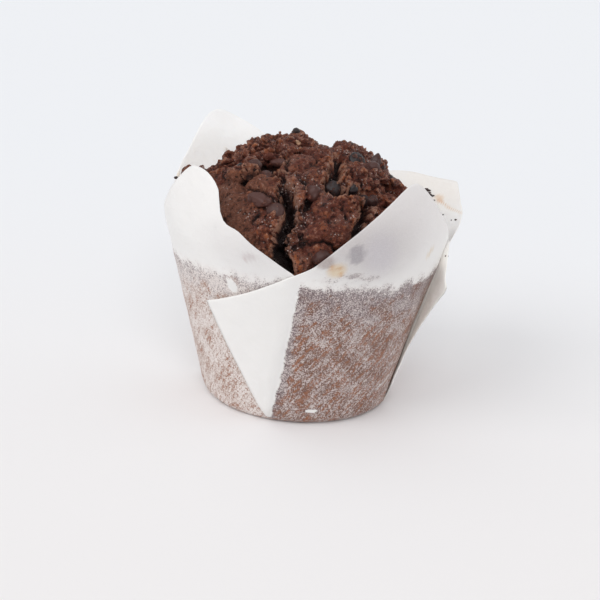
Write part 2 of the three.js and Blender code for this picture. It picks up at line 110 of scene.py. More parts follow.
class Noise:
    """Seeded gradient noise and cell noise on arrays of points."""

    def __init__(self, seed: int) -> None:
        """Draw the tables.

        Args:
            seed: The seed of every draw.
        """
        rng = np.random.default_rng(seed)
        self.order = rng.permutation(256)
        self.slopes = unit(rng.normal(size=(256, 3)))
        self.spots = rng.random((256, 3))

    def _hash(self, cell: Array) -> Array:
        """A number from 0 to 255 for each whole-number cell."""
        c = cell & 255
        return self.order[(self.order[(self.order[c[..., 0]] + c[..., 1]) & 255] + c[..., 2]) & 255]

    def value(self, points: Array) -> Array:
        """Gradient noise, roughly -1 to 1.

        Args:
            points: Points, with one unit to a cell.

        Returns:
            One number a point.
        """
        cell = np.floor(points).astype(np.int64)
        part = points - cell
        ease = part ** 3 * (part * (part * 6 - 15) + 10)
        total = np.zeros(points.shape[:-1])
        for corner in np.ndindex(2, 2, 2):
            step = np.array(corner)
            slope = self.slopes[self._hash(cell + step)]
            weight = np.prod(np.where(step == 1, ease, 1 - ease), axis=-1)
            total += weight * np.sum(slope * (part - step), axis=-1)
        return total * 1.5

    def fractal(self, points: Array, octaves: int, gain: float = 0.5) -> Array:
        """Several octaves of gradient noise.

        Args:
            points: Points, with one unit to the largest cell.
            octaves: How many.
            gain: Each octave's strength over that of the one before.

        Returns:
            One number a point.
        """
        total = np.zeros(points.shape[:-1])
        for level in range(octaves):
            total += gain ** level * self.value(points * 2.03 ** level + 17.3 * level)
        return total

    def cells(self, points: Array) -> tuple[Array, Array]:
        """Distances to the nearest and the second nearest of the scattered cell points.

        Args:
            points: Points, with one unit to a cell.

        Returns:
            Two numbers a point.
        """
        cell = np.floor(points).astype(np.int64)
        first = np.full(points.shape[:-1], 9.0)
        second = first.copy()
        for corner in np.ndindex(3, 3, 3):
            near = cell + np.array(corner) - 1
            d = np.linalg.norm(near + self.spots[self._hash(near)] - points, axis=-1)
            second = np.minimum(second, np.maximum(first, d))
            first = np.minimum(first, d)
        return first, second


class Draws:
    """Seeded numbers, the same on every machine."""

    def __init__(self, seed: int) -> None:
        """Start a series."""
        self.state = seed

    def between(self, low: float, high: float) -> float:
        """The next number, between low and high."""
        self.state = (self.state * 1664525 + 1013904223) % 2 ** 32
        return low + (high - low) * self.state / 2 ** 32


# ---------------------------------------------------------------- meshes
def link(obj: bpy.types.Object) -> bpy.types.Object:
    """Put an object into the scene."""
    bpy.context.scene.collection.objects.link(obj)
    return obj


def side_ends(quads: Array) -> Array:
    """The two vertices of every side of the quads, in the order that they run."""
    return np.concatenate([quads[:, [i, (i + 1) % 4]] for i in range(4)])


def loop_quads(rows: int, width: int) -> Array:
    """Faces of a grid whose last column runs on into its first.

    Args:
        rows: Rows of vertices.
        width: Vertices in a row.

    Returns:
        Four vertex numbers a face.
    """
    column = np.arange(width)
    start = np.arange(rows - 1)[:, None] * width
    low = np.stack([start + column, start + np.roll(column, -1)], -1)
    return np.concatenate([low, low[..., ::-1] + width], -1).reshape(-1, 4)


def make_object(name: str, points: Array, faces: list | Array, material: bpy.types.Material,
                fields: dict[str, Array] | None = None, smooth_shading: bool = True
                ) -> bpy.types.Object:
    """Make a mesh object from millimetre points.

    Args:
        name: The object's name.
        points: One row a vertex, in millimetres.
        faces: Vertex numbers a face.
        material: Its finish.
        fields: Values a vertex, as one number or three, that the finish reads by name.
        smooth_shading: Whether normals run smoothly over the edges.

    Returns:
        The object, linked into the scene.
    """
    mesh = bpy.data.meshes.new(name)
    mesh.from_pydata((np.asarray(points) * MM).tolist(), [],
                     faces.tolist() if isinstance(faces, np.ndarray) else faces)
    for key, values in (fields or {}).items():
        kind = "FLOAT" if values.ndim == 1 else "FLOAT_VECTOR"
        layer = mesh.attributes.new(key, kind, "POINT")
        layer.data.foreach_set("value" if values.ndim == 1 else "vector",
                               np.ascontiguousarray(values, np.float32).ravel())
    mesh.materials.append(material)
    mesh.polygons.foreach_set("use_smooth", [smooth_shading] * len(mesh.polygons))
    mesh.update()
    return link(bpy.data.objects.new(name, mesh))


def mesh_arrays(mesh: bpy.types.Mesh) -> tuple[Array, Array]:
    """A mesh's vertices, and its faces as an array where all of them are quads.

    Args:
        mesh: The mesh.

    Returns:
        The vertices, and four vertex numbers a face.
    """
    points = np.empty(len(mesh.vertices) * 3)
    mesh.vertices.foreach_get("co", points)
    loops = np.empty(len(mesh.loops), np.int64)
    mesh.loops.foreach_get("vertex_index", loops)
    return points.reshape(-1, 3), loops.reshape(-1, 4)


def point_normals(points: Array, quads: Array) -> Array:
    """Each vertex's normal from the quads round it.

    Args:
        points: The vertices.
        quads: The faces.

    Returns:
        One unit vector a vertex.
    """
    a, b, c, d = (points[quads[:, i]] for i in range(4))
    across = np.cross(c - a, d - b)
    total = np.zeros_like(points)
    for i in range(4):
        for axis in range(3):
            total[:, axis] += np.bincount(quads[:, i], across[:, axis], len(points))
    return unit(total)


def largest_part(count: int, quads: Array) -> Array:
    """Find the largest connected part of a mesh.

    Args:
        count: How many vertices the mesh has.
        quads: Its faces.

    Returns:
        True for each vertex of that part.
    """
    label = np.arange(count)
    while True:
        spread = label.copy()
        np.minimum.at(spread, quads, label[quads].min(axis=1)[:, None])
        spread = spread[spread]
        if np.array_equal(spread, label):
            return label == np.bincount(label).argmax()
        label = spread


def neighbour_mean(values: Array, quads: Array, rounds: int) -> Array:
    """Blur a value a vertex over the mesh.

    Args:
        values: One number or one vector a vertex.
        quads: The faces.
        rounds: How many times each vertex takes its neighbours' mean.

    Returns:
        The blurred values.
    """
    ends = side_ends(quads)
    ends = np.concatenate([ends, ends[:, ::-1]])
    count = np.maximum(np.bincount(ends[:, 0], minlength=len(values)), 1)
    flat = values.reshape(len(values), -1).copy()
    for _ in range(rounds):
        for axis in range(flat.shape[1]):
            flat[:, axis] = np.bincount(ends[:, 0], flat[ends[:, 1], axis], len(flat)) / count
    return flat.reshape(values.shape)


class Ball:
    """Unit balls of triangles, made once for each fineness."""

    made: dict[int, tuple[Array, Array]] = {}

    @classmethod
    def get(cls, fineness: int) -> tuple[Array, Array]:
        """The ball's vertices and faces at a fineness.

        Args:
            fineness: How often an icosahedron's faces are split, from 1.

        Returns:
            The vertices, and three vertex numbers a face.
        """
        if fineness not in cls.made:
            work = bmesh.new()
            bmesh.ops.create_icosphere(work, subdivisions=fineness, radius=1.0)
            points = np.array([v.co[:] for v in work.verts])
            faces = np.array([[v.index for v in f.verts] for f in work.faces])
            work.free()
            cls.made[fineness] = (points, faces)
        return cls.made[fineness]


@dataclass
class Heap:
    """Many small closed meshes joined into one."""

    points: list[Array] = field(default_factory=list)
    faces: list[Array] = field(default_factory=list)
    values: list[Array] = field(default_factory=list)
    count: int = 0

    def add(self, points: Array, faces: Array, values: Array | None = None) -> None:
        """Add one mesh.

        Args:
            points: Its vertices.
            faces: Its faces, numbered from 0.
            values: Numbers that each of its vertices carries.
        """
        self.points.append(points)
        self.faces.append(faces + self.count)
        if values is not None:
            self.values.append(np.broadcast_to(values, (len(points), len(values))))
        self.count += len(points)

    def joined(self) -> tuple[Array, Array, Array | None]:
        """All vertices, faces and carried numbers."""
        carried = np.concatenate(self.values) if self.values else None
        return np.concatenate(self.points), np.concatenate(self.faces), carried


# ---------------------------------------------------------------- finishes
class Graph:
    """A procedural material under construction."""

    def __init__(self, name: str) -> None:
        """Start a material with an empty node tree.

        Args:
            name: The material's name.
        """
        self.material = bpy.data.materials.new(name)
        self.material.use_nodes = True
        self.tree = self.material.node_tree
        self.tree.nodes.clear()
        place = self.node("ShaderNodeTexCoord").outputs["Object"]
        scaled = self.node("ShaderNodeVectorMath", {0: place, "Scale": 1 / MM}, operation="SCALE")
        self.place = scaled.outputs["Vector"]

    def node(self, kind: str, inputs: dict | None = None, **settings: object) -> bpy.types.Node:
        """Add a node.

        Args:
            kind: Its Blender type.
            inputs: Values or sockets for its inputs, by name or number.
            settings: Its properties.

        Returns:
            The node.
        """
        made = self.tree.nodes.new(kind)
        for key, value in settings.items():
            setattr(made, key, value)
        for key, value in (inputs or {}).items():
            if isinstance(value, bpy.types.NodeSocket):
                self.tree.links.new(value, made.inputs[key])
            else:
                made.inputs[key].default_value = value
        return made

    def math(self, operation: str, a: object, b: object = 0.0) -> bpy.types.NodeSocket:
        """Arithmetic on two numbers."""
        return self.node("ShaderNodeMath", {0: a, 1: b}, operation=operation).outputs[0]

    def times(self, a: object, b: object) -> bpy.types.NodeSocket:
        """The product of two numbers."""
        return self.math("MULTIPLY", a, b)

    def plus(self, a: object, b: object) -> bpy.types.NodeSocket:
        """The sum of two numbers."""
        return self.math("ADD", a, b)

    def along(self, axis: str) -> bpy.types.NodeSocket:
        """The object's own millimetres along an axis."""
        return self.node("ShaderNodeSeparateXYZ", {0: self.place}).outputs[axis]

    def noise(self, scale: float, detail: float = 3.0, rough: float = 0.55, warp: float = 0.0,
              place: object = None) -> bpy.types.NodeSocket:
        """Fractal noise from 0 to 1.

        Args:
            scale: Cells a millimetre.
            detail: Octaves past the first.
            rough: Their strength.
            warp: How far the pattern distorts itself.
            place: Where to look it up, the object's millimetres unless given.

        Returns:
            The socket that holds it.
        """
        made = self.node("ShaderNodeTexNoise", {
            "Vector": place or self.place, "Scale": scale, "Detail": detail,
            "Roughness": rough, "Distortion": warp})
        return made.outputs["Fac"]

    def cells(self, scale: float) -> bpy.types.NodeSocket:
        """The distance to the nearest point of a cell pattern, with scale cells a millimetre."""
        made = self.node("ShaderNodeTexVoronoi", {"Vector": self.place, "Scale": scale})
        return made.outputs["Distance"]

    def step(self, x: object, low: float, high: float, to: tuple[float, float] = (0.0, 1.0)
             ) -> bpy.types.NodeSocket:
        """A smooth step of x from low to high, onto a range.

        Args:
            x: The number.
            low: Where the step starts.
            high: Where it ends.
            to: What it runs from and to.

        Returns:
            The socket that holds it.
        """
        made = self.node("ShaderNodeMapRange", {
            "Value": x, "From Min": low, "From Max": high, "To Min": to[0], "To Max": to[1]},
            interpolation_type="SMOOTHSTEP")
        return made.outputs["Result"]

    def mix(self, share: object, a: object, b: object) -> bpy.types.NodeSocket:
        """Mix two colours.

        Args:
            share: How much of the second colour.
            a: The first colour.
            b: The second colour.

        Returns:
            The socket that holds it.
        """
        made = self.node("ShaderNodeMix", data_type="RGBA")
        for slot, value in (("Factor_Float", share), ("A_Color", a), ("B_Color", b)):
            socket = next(s for s in made.inputs if s.identifier == slot)
            if isinstance(value, bpy.types.NodeSocket):
                self.tree.links.new(value, socket)
            else:
                socket.default_value = value
        return next(s for s in made.outputs if s.identifier == "Result_Color")

    def field(self, name: str, out: str = "Fac") -> bpy.types.NodeSocket:
        """A value that the mesh carries."""
        return self.node("ShaderNodeAttribute", attribute_name=name).outputs[out]

    def bump(self, height: object, depth: float, under: object = None) -> bpy.types.NodeSocket:
        """A normal bent by a height.

        Args:
            height: The height, 0 to 1.
            depth: What 1 stands for, in millimetres.
            under: A normal that is bent already.

        Returns:
            The normal.
        """
        inputs = {"Height": height, "Distance": depth * MM, "Strength": 1.0}
        if under is not None:
            inputs["Normal"] = under
        return self.node("ShaderNodeBump", inputs).outputs["Normal"]

    def finish(self, **sockets: object) -> bpy.types.Material:
        """Close the tree with a principled shader.

        Args:
            sockets: Its inputs, with _ for a space in their names.

        Returns:
            The material.
        """
        inputs = {key.replace("_", " "): value for key, value in sockets.items()}
        shader = self.node("ShaderNodeBsdfPrincipled", inputs)
        self.node("ShaderNodeOutputMaterial", {"Surface": shader.outputs["BSDF"]})
        self.material.cycles.emission_sampling = "NONE"
        return self.material


@dataclass(frozen=True)
class PaperFinish:
    """Thin white greaseproof paper, speckled brown where cake and fat have soaked in."""

    white: tuple = linear(246, 244, 241)
    pale_ground: tuple = linear(239, 231, 226)
    deep_ground: tuple = linear(207, 195, 191)
    pale_speck: tuple = linear(182, 149, 132)
    deep_speck: tuple = linear(108, 76, 64)
    pale_mauve: tuple = linear(146, 131, 132)
    deep_mauve: tuple = linear(114, 98, 100)
    rust: tuple = linear(152, 98, 70)
    shaded: tuple = linear(104, 84, 74)
    daylight: tuple = linear(255, 250, 240)
    streak_turn: float = 0.85                       # of the streaks on the sheet, in radians
    streak_scale: tuple = (0.16, 0.9, 1.0)          # cells a millimetre along and across them

    def build(self) -> bpy.types.Material:
        """Make the material.

        Returns:
            The material.
        """
        g = Graph("greaseproof paper")
        soak, strength, sheet = g.field("soak"), g.field("strength"), g.field("sheet", "Vector")
        turned = g.node("ShaderNodeVectorRotate", {"Vector": sheet, "Angle": -self.streak_turn},
                        rotation_type="Z_AXIS").outputs["Vector"]
        drawn = g.node("ShaderNodeMapping", {"Vector": turned, "Scale": self.streak_scale}
                       ).outputs["Vector"]
        streak = g.noise(1.0, 4.0, 0.6, 0.4, drawn)
        cloud = g.noise(0.16, 3.0, 0.6)
        grain = g.noise(3.2, 2.0, 0.7)
        fleck = g.noise(1.3, 3.0, 0.7)
        # how much of the sheet's grain has filled with fat, from the stain's border inwards
        edge = g.plus(soak, g.step(g.noise(0.3, 4.0, 0.65), 0.25, 0.75, (-1.5, 1.5)))
        deep = g.step(g.plus(soak, g.step(cloud, 0.3, 0.7, (-7.0, 7.0))), 3.0, 14.0)
        rim = g.times(g.step(edge, -1.0, 1.0), g.step(edge, 4.0, 1.0))
        filled = g.plus(g.step(edge, -2.4, 2.4, (-0.24, 0.0)),
                        g.times(g.math("SUBTRACT", cloud, 0.44), 0.26))
        filled = g.plus(filled, g.times(g.math("SUBTRACT", streak, 0.5), g.times(deep, 0.34)))
        filled = g.plus(filled, g.times(g.math("SUBTRACT", strength, 0.8), 0.08))
        filled = g.plus(filled, g.times(rim, 0.025))
        mottle = g.plus(g.times(grain, 0.7), g.times(fleck, 0.3))
        speck = g.step(g.plus(mottle, filled), 0.43, 0.57)
        # the specks: mauve near the border, brown further in, rust in drawn-out patches
        dark = g.mix(strength, self.pale_speck, self.deep_speck)
        dark = g.mix(deep, g.mix(strength, self.pale_mauve, self.deep_mauve), dark)
        patchy = g.plus(g.times(streak, 0.6), g.times(fleck, 0.4))
        dark = g.mix(g.times(g.step(patchy, 0.48, 0.6), g.times(deep, 0.9)), dark, self.rust)
        ground = g.mix(strength, self.pale_ground, self.deep_ground)
        ground = g.mix(g.step(edge, -2.0, 4.0), self.white, ground)
        inside = g.step(soak, -4.0, -1.5)
        colour = g.mix(g.times(speck, inside), ground, dark)
        shade = g.times(g.field("shade"), g.step(fleck, 0.3, 0.7, (1.0, 0.7)))
        colour = g.mix(shade, colour, self.shaded)
        # the marks' colours: stains, and broad painted shade on the petals
        tinted = g.times(g.field("tinted"), g.step(grain, 0.3, 0.6, (0.86, 1.0)))
        colour = g.mix(tinted, colour, g.field("tint", "Vector"))
        # light passes through clean paper, most where nothing stands behind it
        clean = g.step(soak, 0.5, -2.0)
        thin = g.plus(g.step(clean, 0.0, 1.0, (0.2, 0.35)),
                      g.times(clean, g.step(g.along("Y"), 0.0, 12.0, (0.0, 0.6))))
        return g.finish(Base_Color=colour, Roughness=g.step(inside, 0.0, 1.0, (0.6, 0.45)),
                        Normal=g.bump(g.noise(3.0, 3.0, 0.6), 0.05, g.bump(cloud, 0.5)),
                        Subsurface_Weight=thin, Subsurface_Radius=(1.0, 0.95, 0.9),
                        Subsurface_Scale=MM, Specular_IOR_Level=0.35,
                        Emission_Color=self.daylight,
                        Emission_Strength=g.times(clean, g.field("glow")))


@dataclass(frozen=True)
class CakeFinish:
    """Chocolate crumb: matt crust, orange-brown edges, painted highlights on grains, painted shade
    in cracks.
    """

    # lighter than the crumb partly as painted light from the key on the left
    crust: tuple = linear(128, 80, 61)      # smooth and matt, on the left
    crumb: tuple = linear(106, 52, 38)
    tan: tuple = linear(146, 80, 50)
    edge: tuple = linear(186, 108, 62)
    # painted highlight on grains that stand up
    pale: tuple = linear(196, 150, 128)
    # painted shade for cracks, hollows and pores
    hollow_shade: tuple = linear(34, 15, 13)
    syrup: tuple = linear(74, 30, 22)
    glint: tuple = linear(226, 206, 198)

    def build(self) -> bpy.types.Material:
        """Make the material.

        Returns:
            The material.
        """
        g = Graph("chocolate cake")
        height, ridge, level = g.field("height"), g.field("ridge"), g.field("level")
        gloss, crumbly = g.field("gloss"), g.field("crumbly")
        patch = g.noise(0.22, 4.0, 0.6, 0.5)
        fine = g.noise(1.3, 5.0, 0.75)
        grit = g.noise(3.0, 3.0, 0.7)
        # smooth matt crust on the left, lighter there partly as painted light from the key
        left = g.step(g.plus(g.along("X"), g.step(patch, 0.3, 0.7, (-6.0, 6.0))), -6.0, -16.0)
        matt = g.times(g.math("MAXIMUM", left, g.step(patch, 0.5, 0.7)), g.step(crumbly, 0.6, 0.0))
        baked = g.step(g.noise(0.33, 4.0, 0.65, 0.8), 0.49, 0.66)
        colour = g.mix(matt, g.mix(baked, self.crumb, self.tan), self.crust)
        # orange crumb on raised grains, partly a painted highlight where they stand up
        raised = g.times(g.step(height, 0.25, 1.0), g.step(g.noise(0.6, 3.0), 0.4, 0.65))
        colour = g.mix(g.times(raised, 0.7), colour, self.edge)
        # torn crumb: painted highlight where a grain stands up, painted shade nearly black in the
        # holes between
        relief = g.plus(g.times(ridge, 0.35), fine)
        relief = g.plus(g.times(relief, 0.6), g.times(grit, 0.4))
        colour = g.mix(g.step(relief, 0.54, 0.64, (0.0, 0.6)), colour, self.pale)
        colour = g.mix(g.step(relief, 0.49, 0.38, (0.0, 0.95)), colour, self.hollow_shade)
        # painted shade where the crust lies below its neighbours, and deep below the dome
        sunk = g.math("MAXIMUM", g.step(height, 0.05, -1.0), g.step(level, -1.0, -4.0))
        colour = g.mix(sunk, colour, self.hollow_shade)
        colour = g.mix(g.times(gloss, 0.35), colour, self.syrup)
        # painted shade in the pores
        pores = g.step(g.cells(0.85), 0.06, 0.3)
        holes = g.times(pores, g.step(g.cells(1.9), 0.04, 0.26))
        colour = g.mix(g.math("SUBTRACT", 1.0, holes), colour, self.hollow_shade)
        wet = g.step(g.plus(gloss, g.step(patch, 0.3, 0.7, (-0.3, 0.3))), 0.2, 0.5)
        spark = g.times(g.step(g.cells(1.0), 0.26, 0.16), wet)
        colour = g.mix(g.times(spark, 0.85), colour, self.glint)
        shine = g.times(wet, g.step(g.noise(0.9, 3.0), 0.4, 0.56))
        rough = g.step(shine, 0.0, 1.0, (0.5, 0.16))
        bump = g.bump(grit, 0.25, g.bump(fine, 0.8, g.bump(holes, 0.35)))
        return g.finish(Base_Color=colour, Roughness=rough, Normal=bump,
                        Specular_IOR_Level=g.step(wet, 0.0, 1.0, (0.3, 0.6)))


@dataclass(frozen=True)
class DropFinish:
    """Baked chocolate drops, from brown at tone 0 to nearly black at 1; an oat flake at 2."""

    brown: tuple = linear(80, 48, 42)
    dark: tuple = linear(31, 25, 27)
    film: tuple = linear(104, 80, 76)
    oat: tuple = linear(186, 146, 116)
    crumb: tuple = linear(96, 54, 42)

    def build(self) -> bpy.types.Material:
        """Make the material.

        Returns:
            The material.
        """
        g = Graph("chocolate drop")
        tone = g.field("tone")
        film = g.noise(0.5, 3.0)
        colour = g.mix(tone, self.brown, self.dark)
        colour = g.mix(g.step(film, 0.4, 0.75, (0.0, 0.1)), colour, self.film)
        crumbs = g.times(g.step(g.noise(0.45, 3.0, 0.6), 0.54, 0.6),
                         g.step(g.noise(2.2, 3.0, 0.7), 0.4, 0.55))
        colour = g.mix(crumbs, colour, self.crumb)
        colour = g.mix(g.step(tone, 1.5, 1.9), colour, self.oat)
        return g.finish(Base_Color=colour, Roughness=g.step(film, 0.3, 0.7, (0.3, 0.5)),
                        Normal=g.bump(crumbs, 0.25, g.bump(g.noise(0.8, 3.0), 0.25)),
                        Specular_IOR_Level=0.36)


@dataclass(frozen=True)
class FloorFinish:
    """Matt white studio card."""

    front: tuple = linear(240, 238, 238)
    back: tuple = linear(239, 241, 244)
    cloudy: tuple = linear(232, 231, 233)

    def build(self) -> bpy.types.Material:
        """Make the material.

        Returns:
            The material.
        """
        g = Graph("studio card")
        cloud = g.step(g.noise(0.01, 2.0), 0.3, 0.7, (0.0, 0.02))
        card = g.mix(g.step(g.along("Y"), -150.0, 250.0), self.front, self.back)
        colour = g.mix(cloud, card, self.cloudy)
        return g.finish(Base_Color=colour, Roughness=0.9, Specular_IOR_Level=0.2,
                        Normal=g.bump(g.noise(2.0, 2.0), 0.01))


# ---------------------------------------------------------------- paper case
class Corner(IntEnum):
    """The four petals, in the order in which the sheet runs round."""

    RIGHT_FRONT = 0
    LEFT_FRONT = 1
    LEFT_BACK = 2
    RIGHT_BACK = 3


class Layer(IntEnum):
    """A layer of the sheet: a petal, or the one between the two folds of a pleat."""

    PETAL = 0
    MIDDLE = 1


class Side(IntEnum):
    """The way a petal curls."""

    INWARDS = -1
    OUTWARDS = 1


@dataclass(frozen=True)
class Pleat:
    """A pleat: the outer layer turns back at its free fold and again at the hidden fold."""

    root: float              # azimuth where both folds start, at the base corner
    free: float              # sideways run of the free fold a millimetre up the wall
    hidden: float            # the same of the hidden fold, to the other side
    lift: float              # how far the free fold stands off at a slant height of 36
    power: float = 1.5       # how late it does so

    def stand(self, slant: Array) -> Array:
        """How far the free fold stands off the wall at a slant height."""
        return self.lift * (np.clip(slant, 0, 40) / 36) ** self.power


@dataclass(frozen=True)
class Curl:
    """A bend of a petal round a cylinder, past a line across it."""

    at: float                # azimuth of the line's middle, from the petal's axis
    start: float             # its slant height
    skew: float              # how far it is turned, in degrees
    radius: float            # of the cylinder
    angle: float             # of the bend, before the petal runs straight again
    side: Side


@dataclass(frozen=True)
class Shoulder:
    """A swelling of a petal's edge, over azimuths from the petal's axis, and the run past it."""

    at: float = 0.0          # where its top is
    rise: float = 0.0        # its height
    before: float = 1.0      # its width towards lower azimuths, in degrees
    past: float = 1.0        # its width towards higher ones
    power: float = 2.0       # how square it is
    dip: float = 0.0         # depth of the notch just past it
    lift: float = 0.0        # how much higher the edge runs past it
    tilt: float = 0.0        # how much that falls in 30 degrees

    def swell(self, turn: Array) -> Array:
        """How much higher the edge runs at azimuths from the axis.

        Args:
            turn: Degrees from the petal's axis.

        Returns:
            Millimetres.
        """
        x = turn - self.at
        width = np.where(x < 0, self.before, self.past)
        bump = self.rise * np.exp(-np.abs(x / width) ** self.power)
        dip = self.dip * np.exp(-((x - 5) / 4) ** 2)
        return bump - dip + self.lift * smooth(x, 0, 12) - self.tilt * np.maximum(x, 0) / 30


@dataclass(frozen=True)
class Petal:
    """A corner of the square sheet that stands up as a petal."""

    axis: float              # azimuth of the corner
    corner: float            # its slant height
    slope: float             # of the two cut edges at the corner
    rounding: float          # how blunt the corner is
    pleat: Pleat             # the one that its lower azimuths lap over
    curl: Curl
    shoulder: Shoulder = Shoulder()


# in the order of Corner
PETALS = (
    Petal(-48.8, 78.9, 1.0, 2.6, Pleat(-105, 0.5, 0.16, 1.1),
          Curl(0, 50.7, -7.5, 30.6, 9.7, Side.INWARDS)),
    Petal(-140.7, 78.0, 0.97, 3.6, Pleat(-196, 0.5, 0.16, 2.2),
          Curl(0, 52.2, -6.4, 38, 15.5, Side.INWARDS),
          Shoulder(13.56, 5.24, 10.4, 1.7, 2.7, 1.64, 1.23, 0.54)),
    Petal(-232.5, 78.4, 0.91, 4.2, Pleat(-287, 0.5, 0.16, 3.0),
          Curl(0, 62.8, -5.5, 27.8, 16, Side.OUTWARDS)),
    Petal(-320.0, 68.5, 0.8, 0.7, Pleat(-379, 0.07, 0.16, 4.4, 2.5),
          Curl(-4.7, 44.3, -7.5, 12.6, 64.4, Side.OUTWARDS)),
)


@dataclass(frozen=True)
class Spot:
    """An oval place on the sheet, by petal, azimuth and slant height."""

    petal: Corner
    azimuth: float
    slant: float
    half_width: float
    half_height: float
    turn: float = 0.0                        # radians
    colour: tuple = (0.0, 0.0, 0.0, 1.0)
    share: float = 0.0                       # how much of its colour shows
    soak: float = 0.0                        # millimetres that it adds to the stain
    soft: float = 0.25                       # share of its size over which it fades

    def cover(self, grid: dict[str, Array]) -> Array:
        """How much of the spot each point of the sheet takes.

        Args:
            grid: The sheet.

        Returns:
            0 to 1 a point.
        """
        across = np.radians(grid["azimuth"] - self.azimuth) * (BASE_RADIUS + WIDENING * self.slant)
        along = grid["slant"] - self.slant
        c, s = math.cos(self.turn), math.sin(self.turn)
        away = np.hypot((across * c + along * s) / self.half_width,
                        (along * c - across * s) / self.half_height)
        mine = (grid["petal"] == self.petal) & (grid["layer"] == Layer.PETAL)
        return np.where(mine, 1 - smooth(away, 1 - self.soft, 1 + self.soft), 0.0)


# coloured marks on the paper, and broad painted shade on the petals
MARKS_AND_SHADE = (
    # painted shade: broad greying of the petals, from the cake behind them and the light's fall,
    # partly soaked-in fat
    Spot(Corner.RIGHT_FRONT, -52.0, 66.0, 21.0, 15.0, 0.0, linear(224, 219, 218), 0.9, soft=0.9),
    Spot(Corner.RIGHT_FRONT, -66.0, 58.5, 13.0, 8.0, 0.0, linear(186, 180, 180), 0.8, soft=0.9),
    Spot(Corner.LEFT_FRONT, -109.5, 56.0, 12.0, 8.0, 0.0, linear(214, 210, 210), 0.6, soft=0.9),
    Spot(Corner.RIGHT_BACK, -319.0, 60.0, 18.0, 12.0, 0.0, linear(224, 213, 203), 0.85, soft=0.8),
    # marks of cake and fat that show through where a petal leans on the crust
    Spot(Corner.RIGHT_FRONT, -60.0, 57.0, 4.5, 6.0, 0.2, linear(196, 191, 198), 0.5, soft=0.6),
    Spot(Corner.RIGHT_FRONT, -69.5, 57.5, 2.4, 2.9, 0.0, linear(150, 145, 151), 0.75, soft=0.12),
    Spot(Corner.RIGHT_FRONT, -81.5, 56.0, 2.6, 2.0, 0.0, linear(150, 135, 132), 0.7, soft=0.3),
    Spot(Corner.RIGHT_FRONT, -77.1, 52.9, 2.6, 2.2, 0.3, linear(218, 186, 134), 0.6, soft=0.4),
    Spot(Corner.RIGHT_FRONT, -78.5, 54.6, 0.7, 0.7, 0.0, linear(198, 146, 96), 0.7),
    Spot(Corner.RIGHT_FRONT, -75.3, 51.6, 0.6, 0.9, 0.0, linear(202, 152, 100), 0.6),
    Spot(Corner.RIGHT_FRONT, -31.4, 53.4, 1.0, 2.0, -0.6, linear(222, 202, 170), 0.6, soft=0.5),
    # crumb stains inside the back petals and on the left one
    Spot(Corner.RIGHT_BACK, -324.6, 58.0, 1.5, 1.3, 0.2, linear(200, 156, 118), 0.6, soft=0.5),
    Spot(Corner.RIGHT_BACK, -327.2, 56.9, 1.2, 0.9, 0.0, linear(186, 132, 92), 0.7, soft=0.5),
    Spot(Corner.RIGHT_BACK, -330.2, 56.5, 1.6, 0.4, 0.15, linear(190, 138, 96), 0.75, soft=0.4),
    Spot(Corner.RIGHT_BACK, -334.6, 56.0, 2.2, 0.35, 0.12, linear(196, 146, 102), 0.75, soft=0.4),
    Spot(Corner.RIGHT_BACK, -339.6, 55.6, 2.2, 0.35, 0.1, linear(200, 152, 110), 0.7, soft=0.4),
    Spot(Corner.RIGHT_BACK, -344.0, 55.2, 1.8, 0.3, 0.1, linear(206, 162, 122), 0.6, soft=0.4),
    Spot(Corner.RIGHT_FRONT, -76.2, 53.7, 0.8, 0.6, 0.3, linear(190, 136, 88), 0.6, soft=0.5),
    Spot(Corner.RIGHT_FRONT, -79.6, 53.3, 0.6, 0.5, 0.0, linear(196, 144, 96), 0.6, soft=0.5),
    Spot(Corner.LEFT_BACK, -233.5, 61.8, 0.8, 0.8, 0.0, linear(110, 80, 62), 0.8),
    Spot(Corner.LEFT_BACK, -202.1, 59.4, 1.8, 1.2, 0.3, linear(208, 180, 150), 0.6),
    Spot(Corner.LEFT_FRONT, -111.4, 54.6, 2.0, 1.1, 0.3, linear(196, 184, 184), 0.6, soft=0.6),
    Spot(Corner.LEFT_FRONT, -112.8, 53.4, 0.6, 0.5, 0.0, linear(190, 168, 166), 0.5, soft=0.5),
)
# patches that the fat left out, where soak is below 0, and specks past its border
PATCHES = (
    Spot(Corner.LEFT_FRONT, -120.3, 43.3, 1.5, 2.1, 0.5, soak=-8.0, soft=0.4),
    Spot(Corner.RIGHT_FRONT, -80.1, 5.0, 2.1, 0.8, 0.0, soak=-50.0),
    Spot(Corner.RIGHT_FRONT, -36.1, 10.1, 2.4, 0.6, 0.5, soak=-36.0),
    Spot(Corner.RIGHT_FRONT, -71.5, 51.4, 3.0, 1.6, 0.0, soak=3.6),
    Spot(Corner.RIGHT_FRONT, -64.0, 50.4, 4.5, 1.6, -0.1, soak=3.0),
    Spot(Corner.RIGHT_FRONT, -79.0, 50.0, 3.5, 1.4, 0.0, soak=2.0),
)


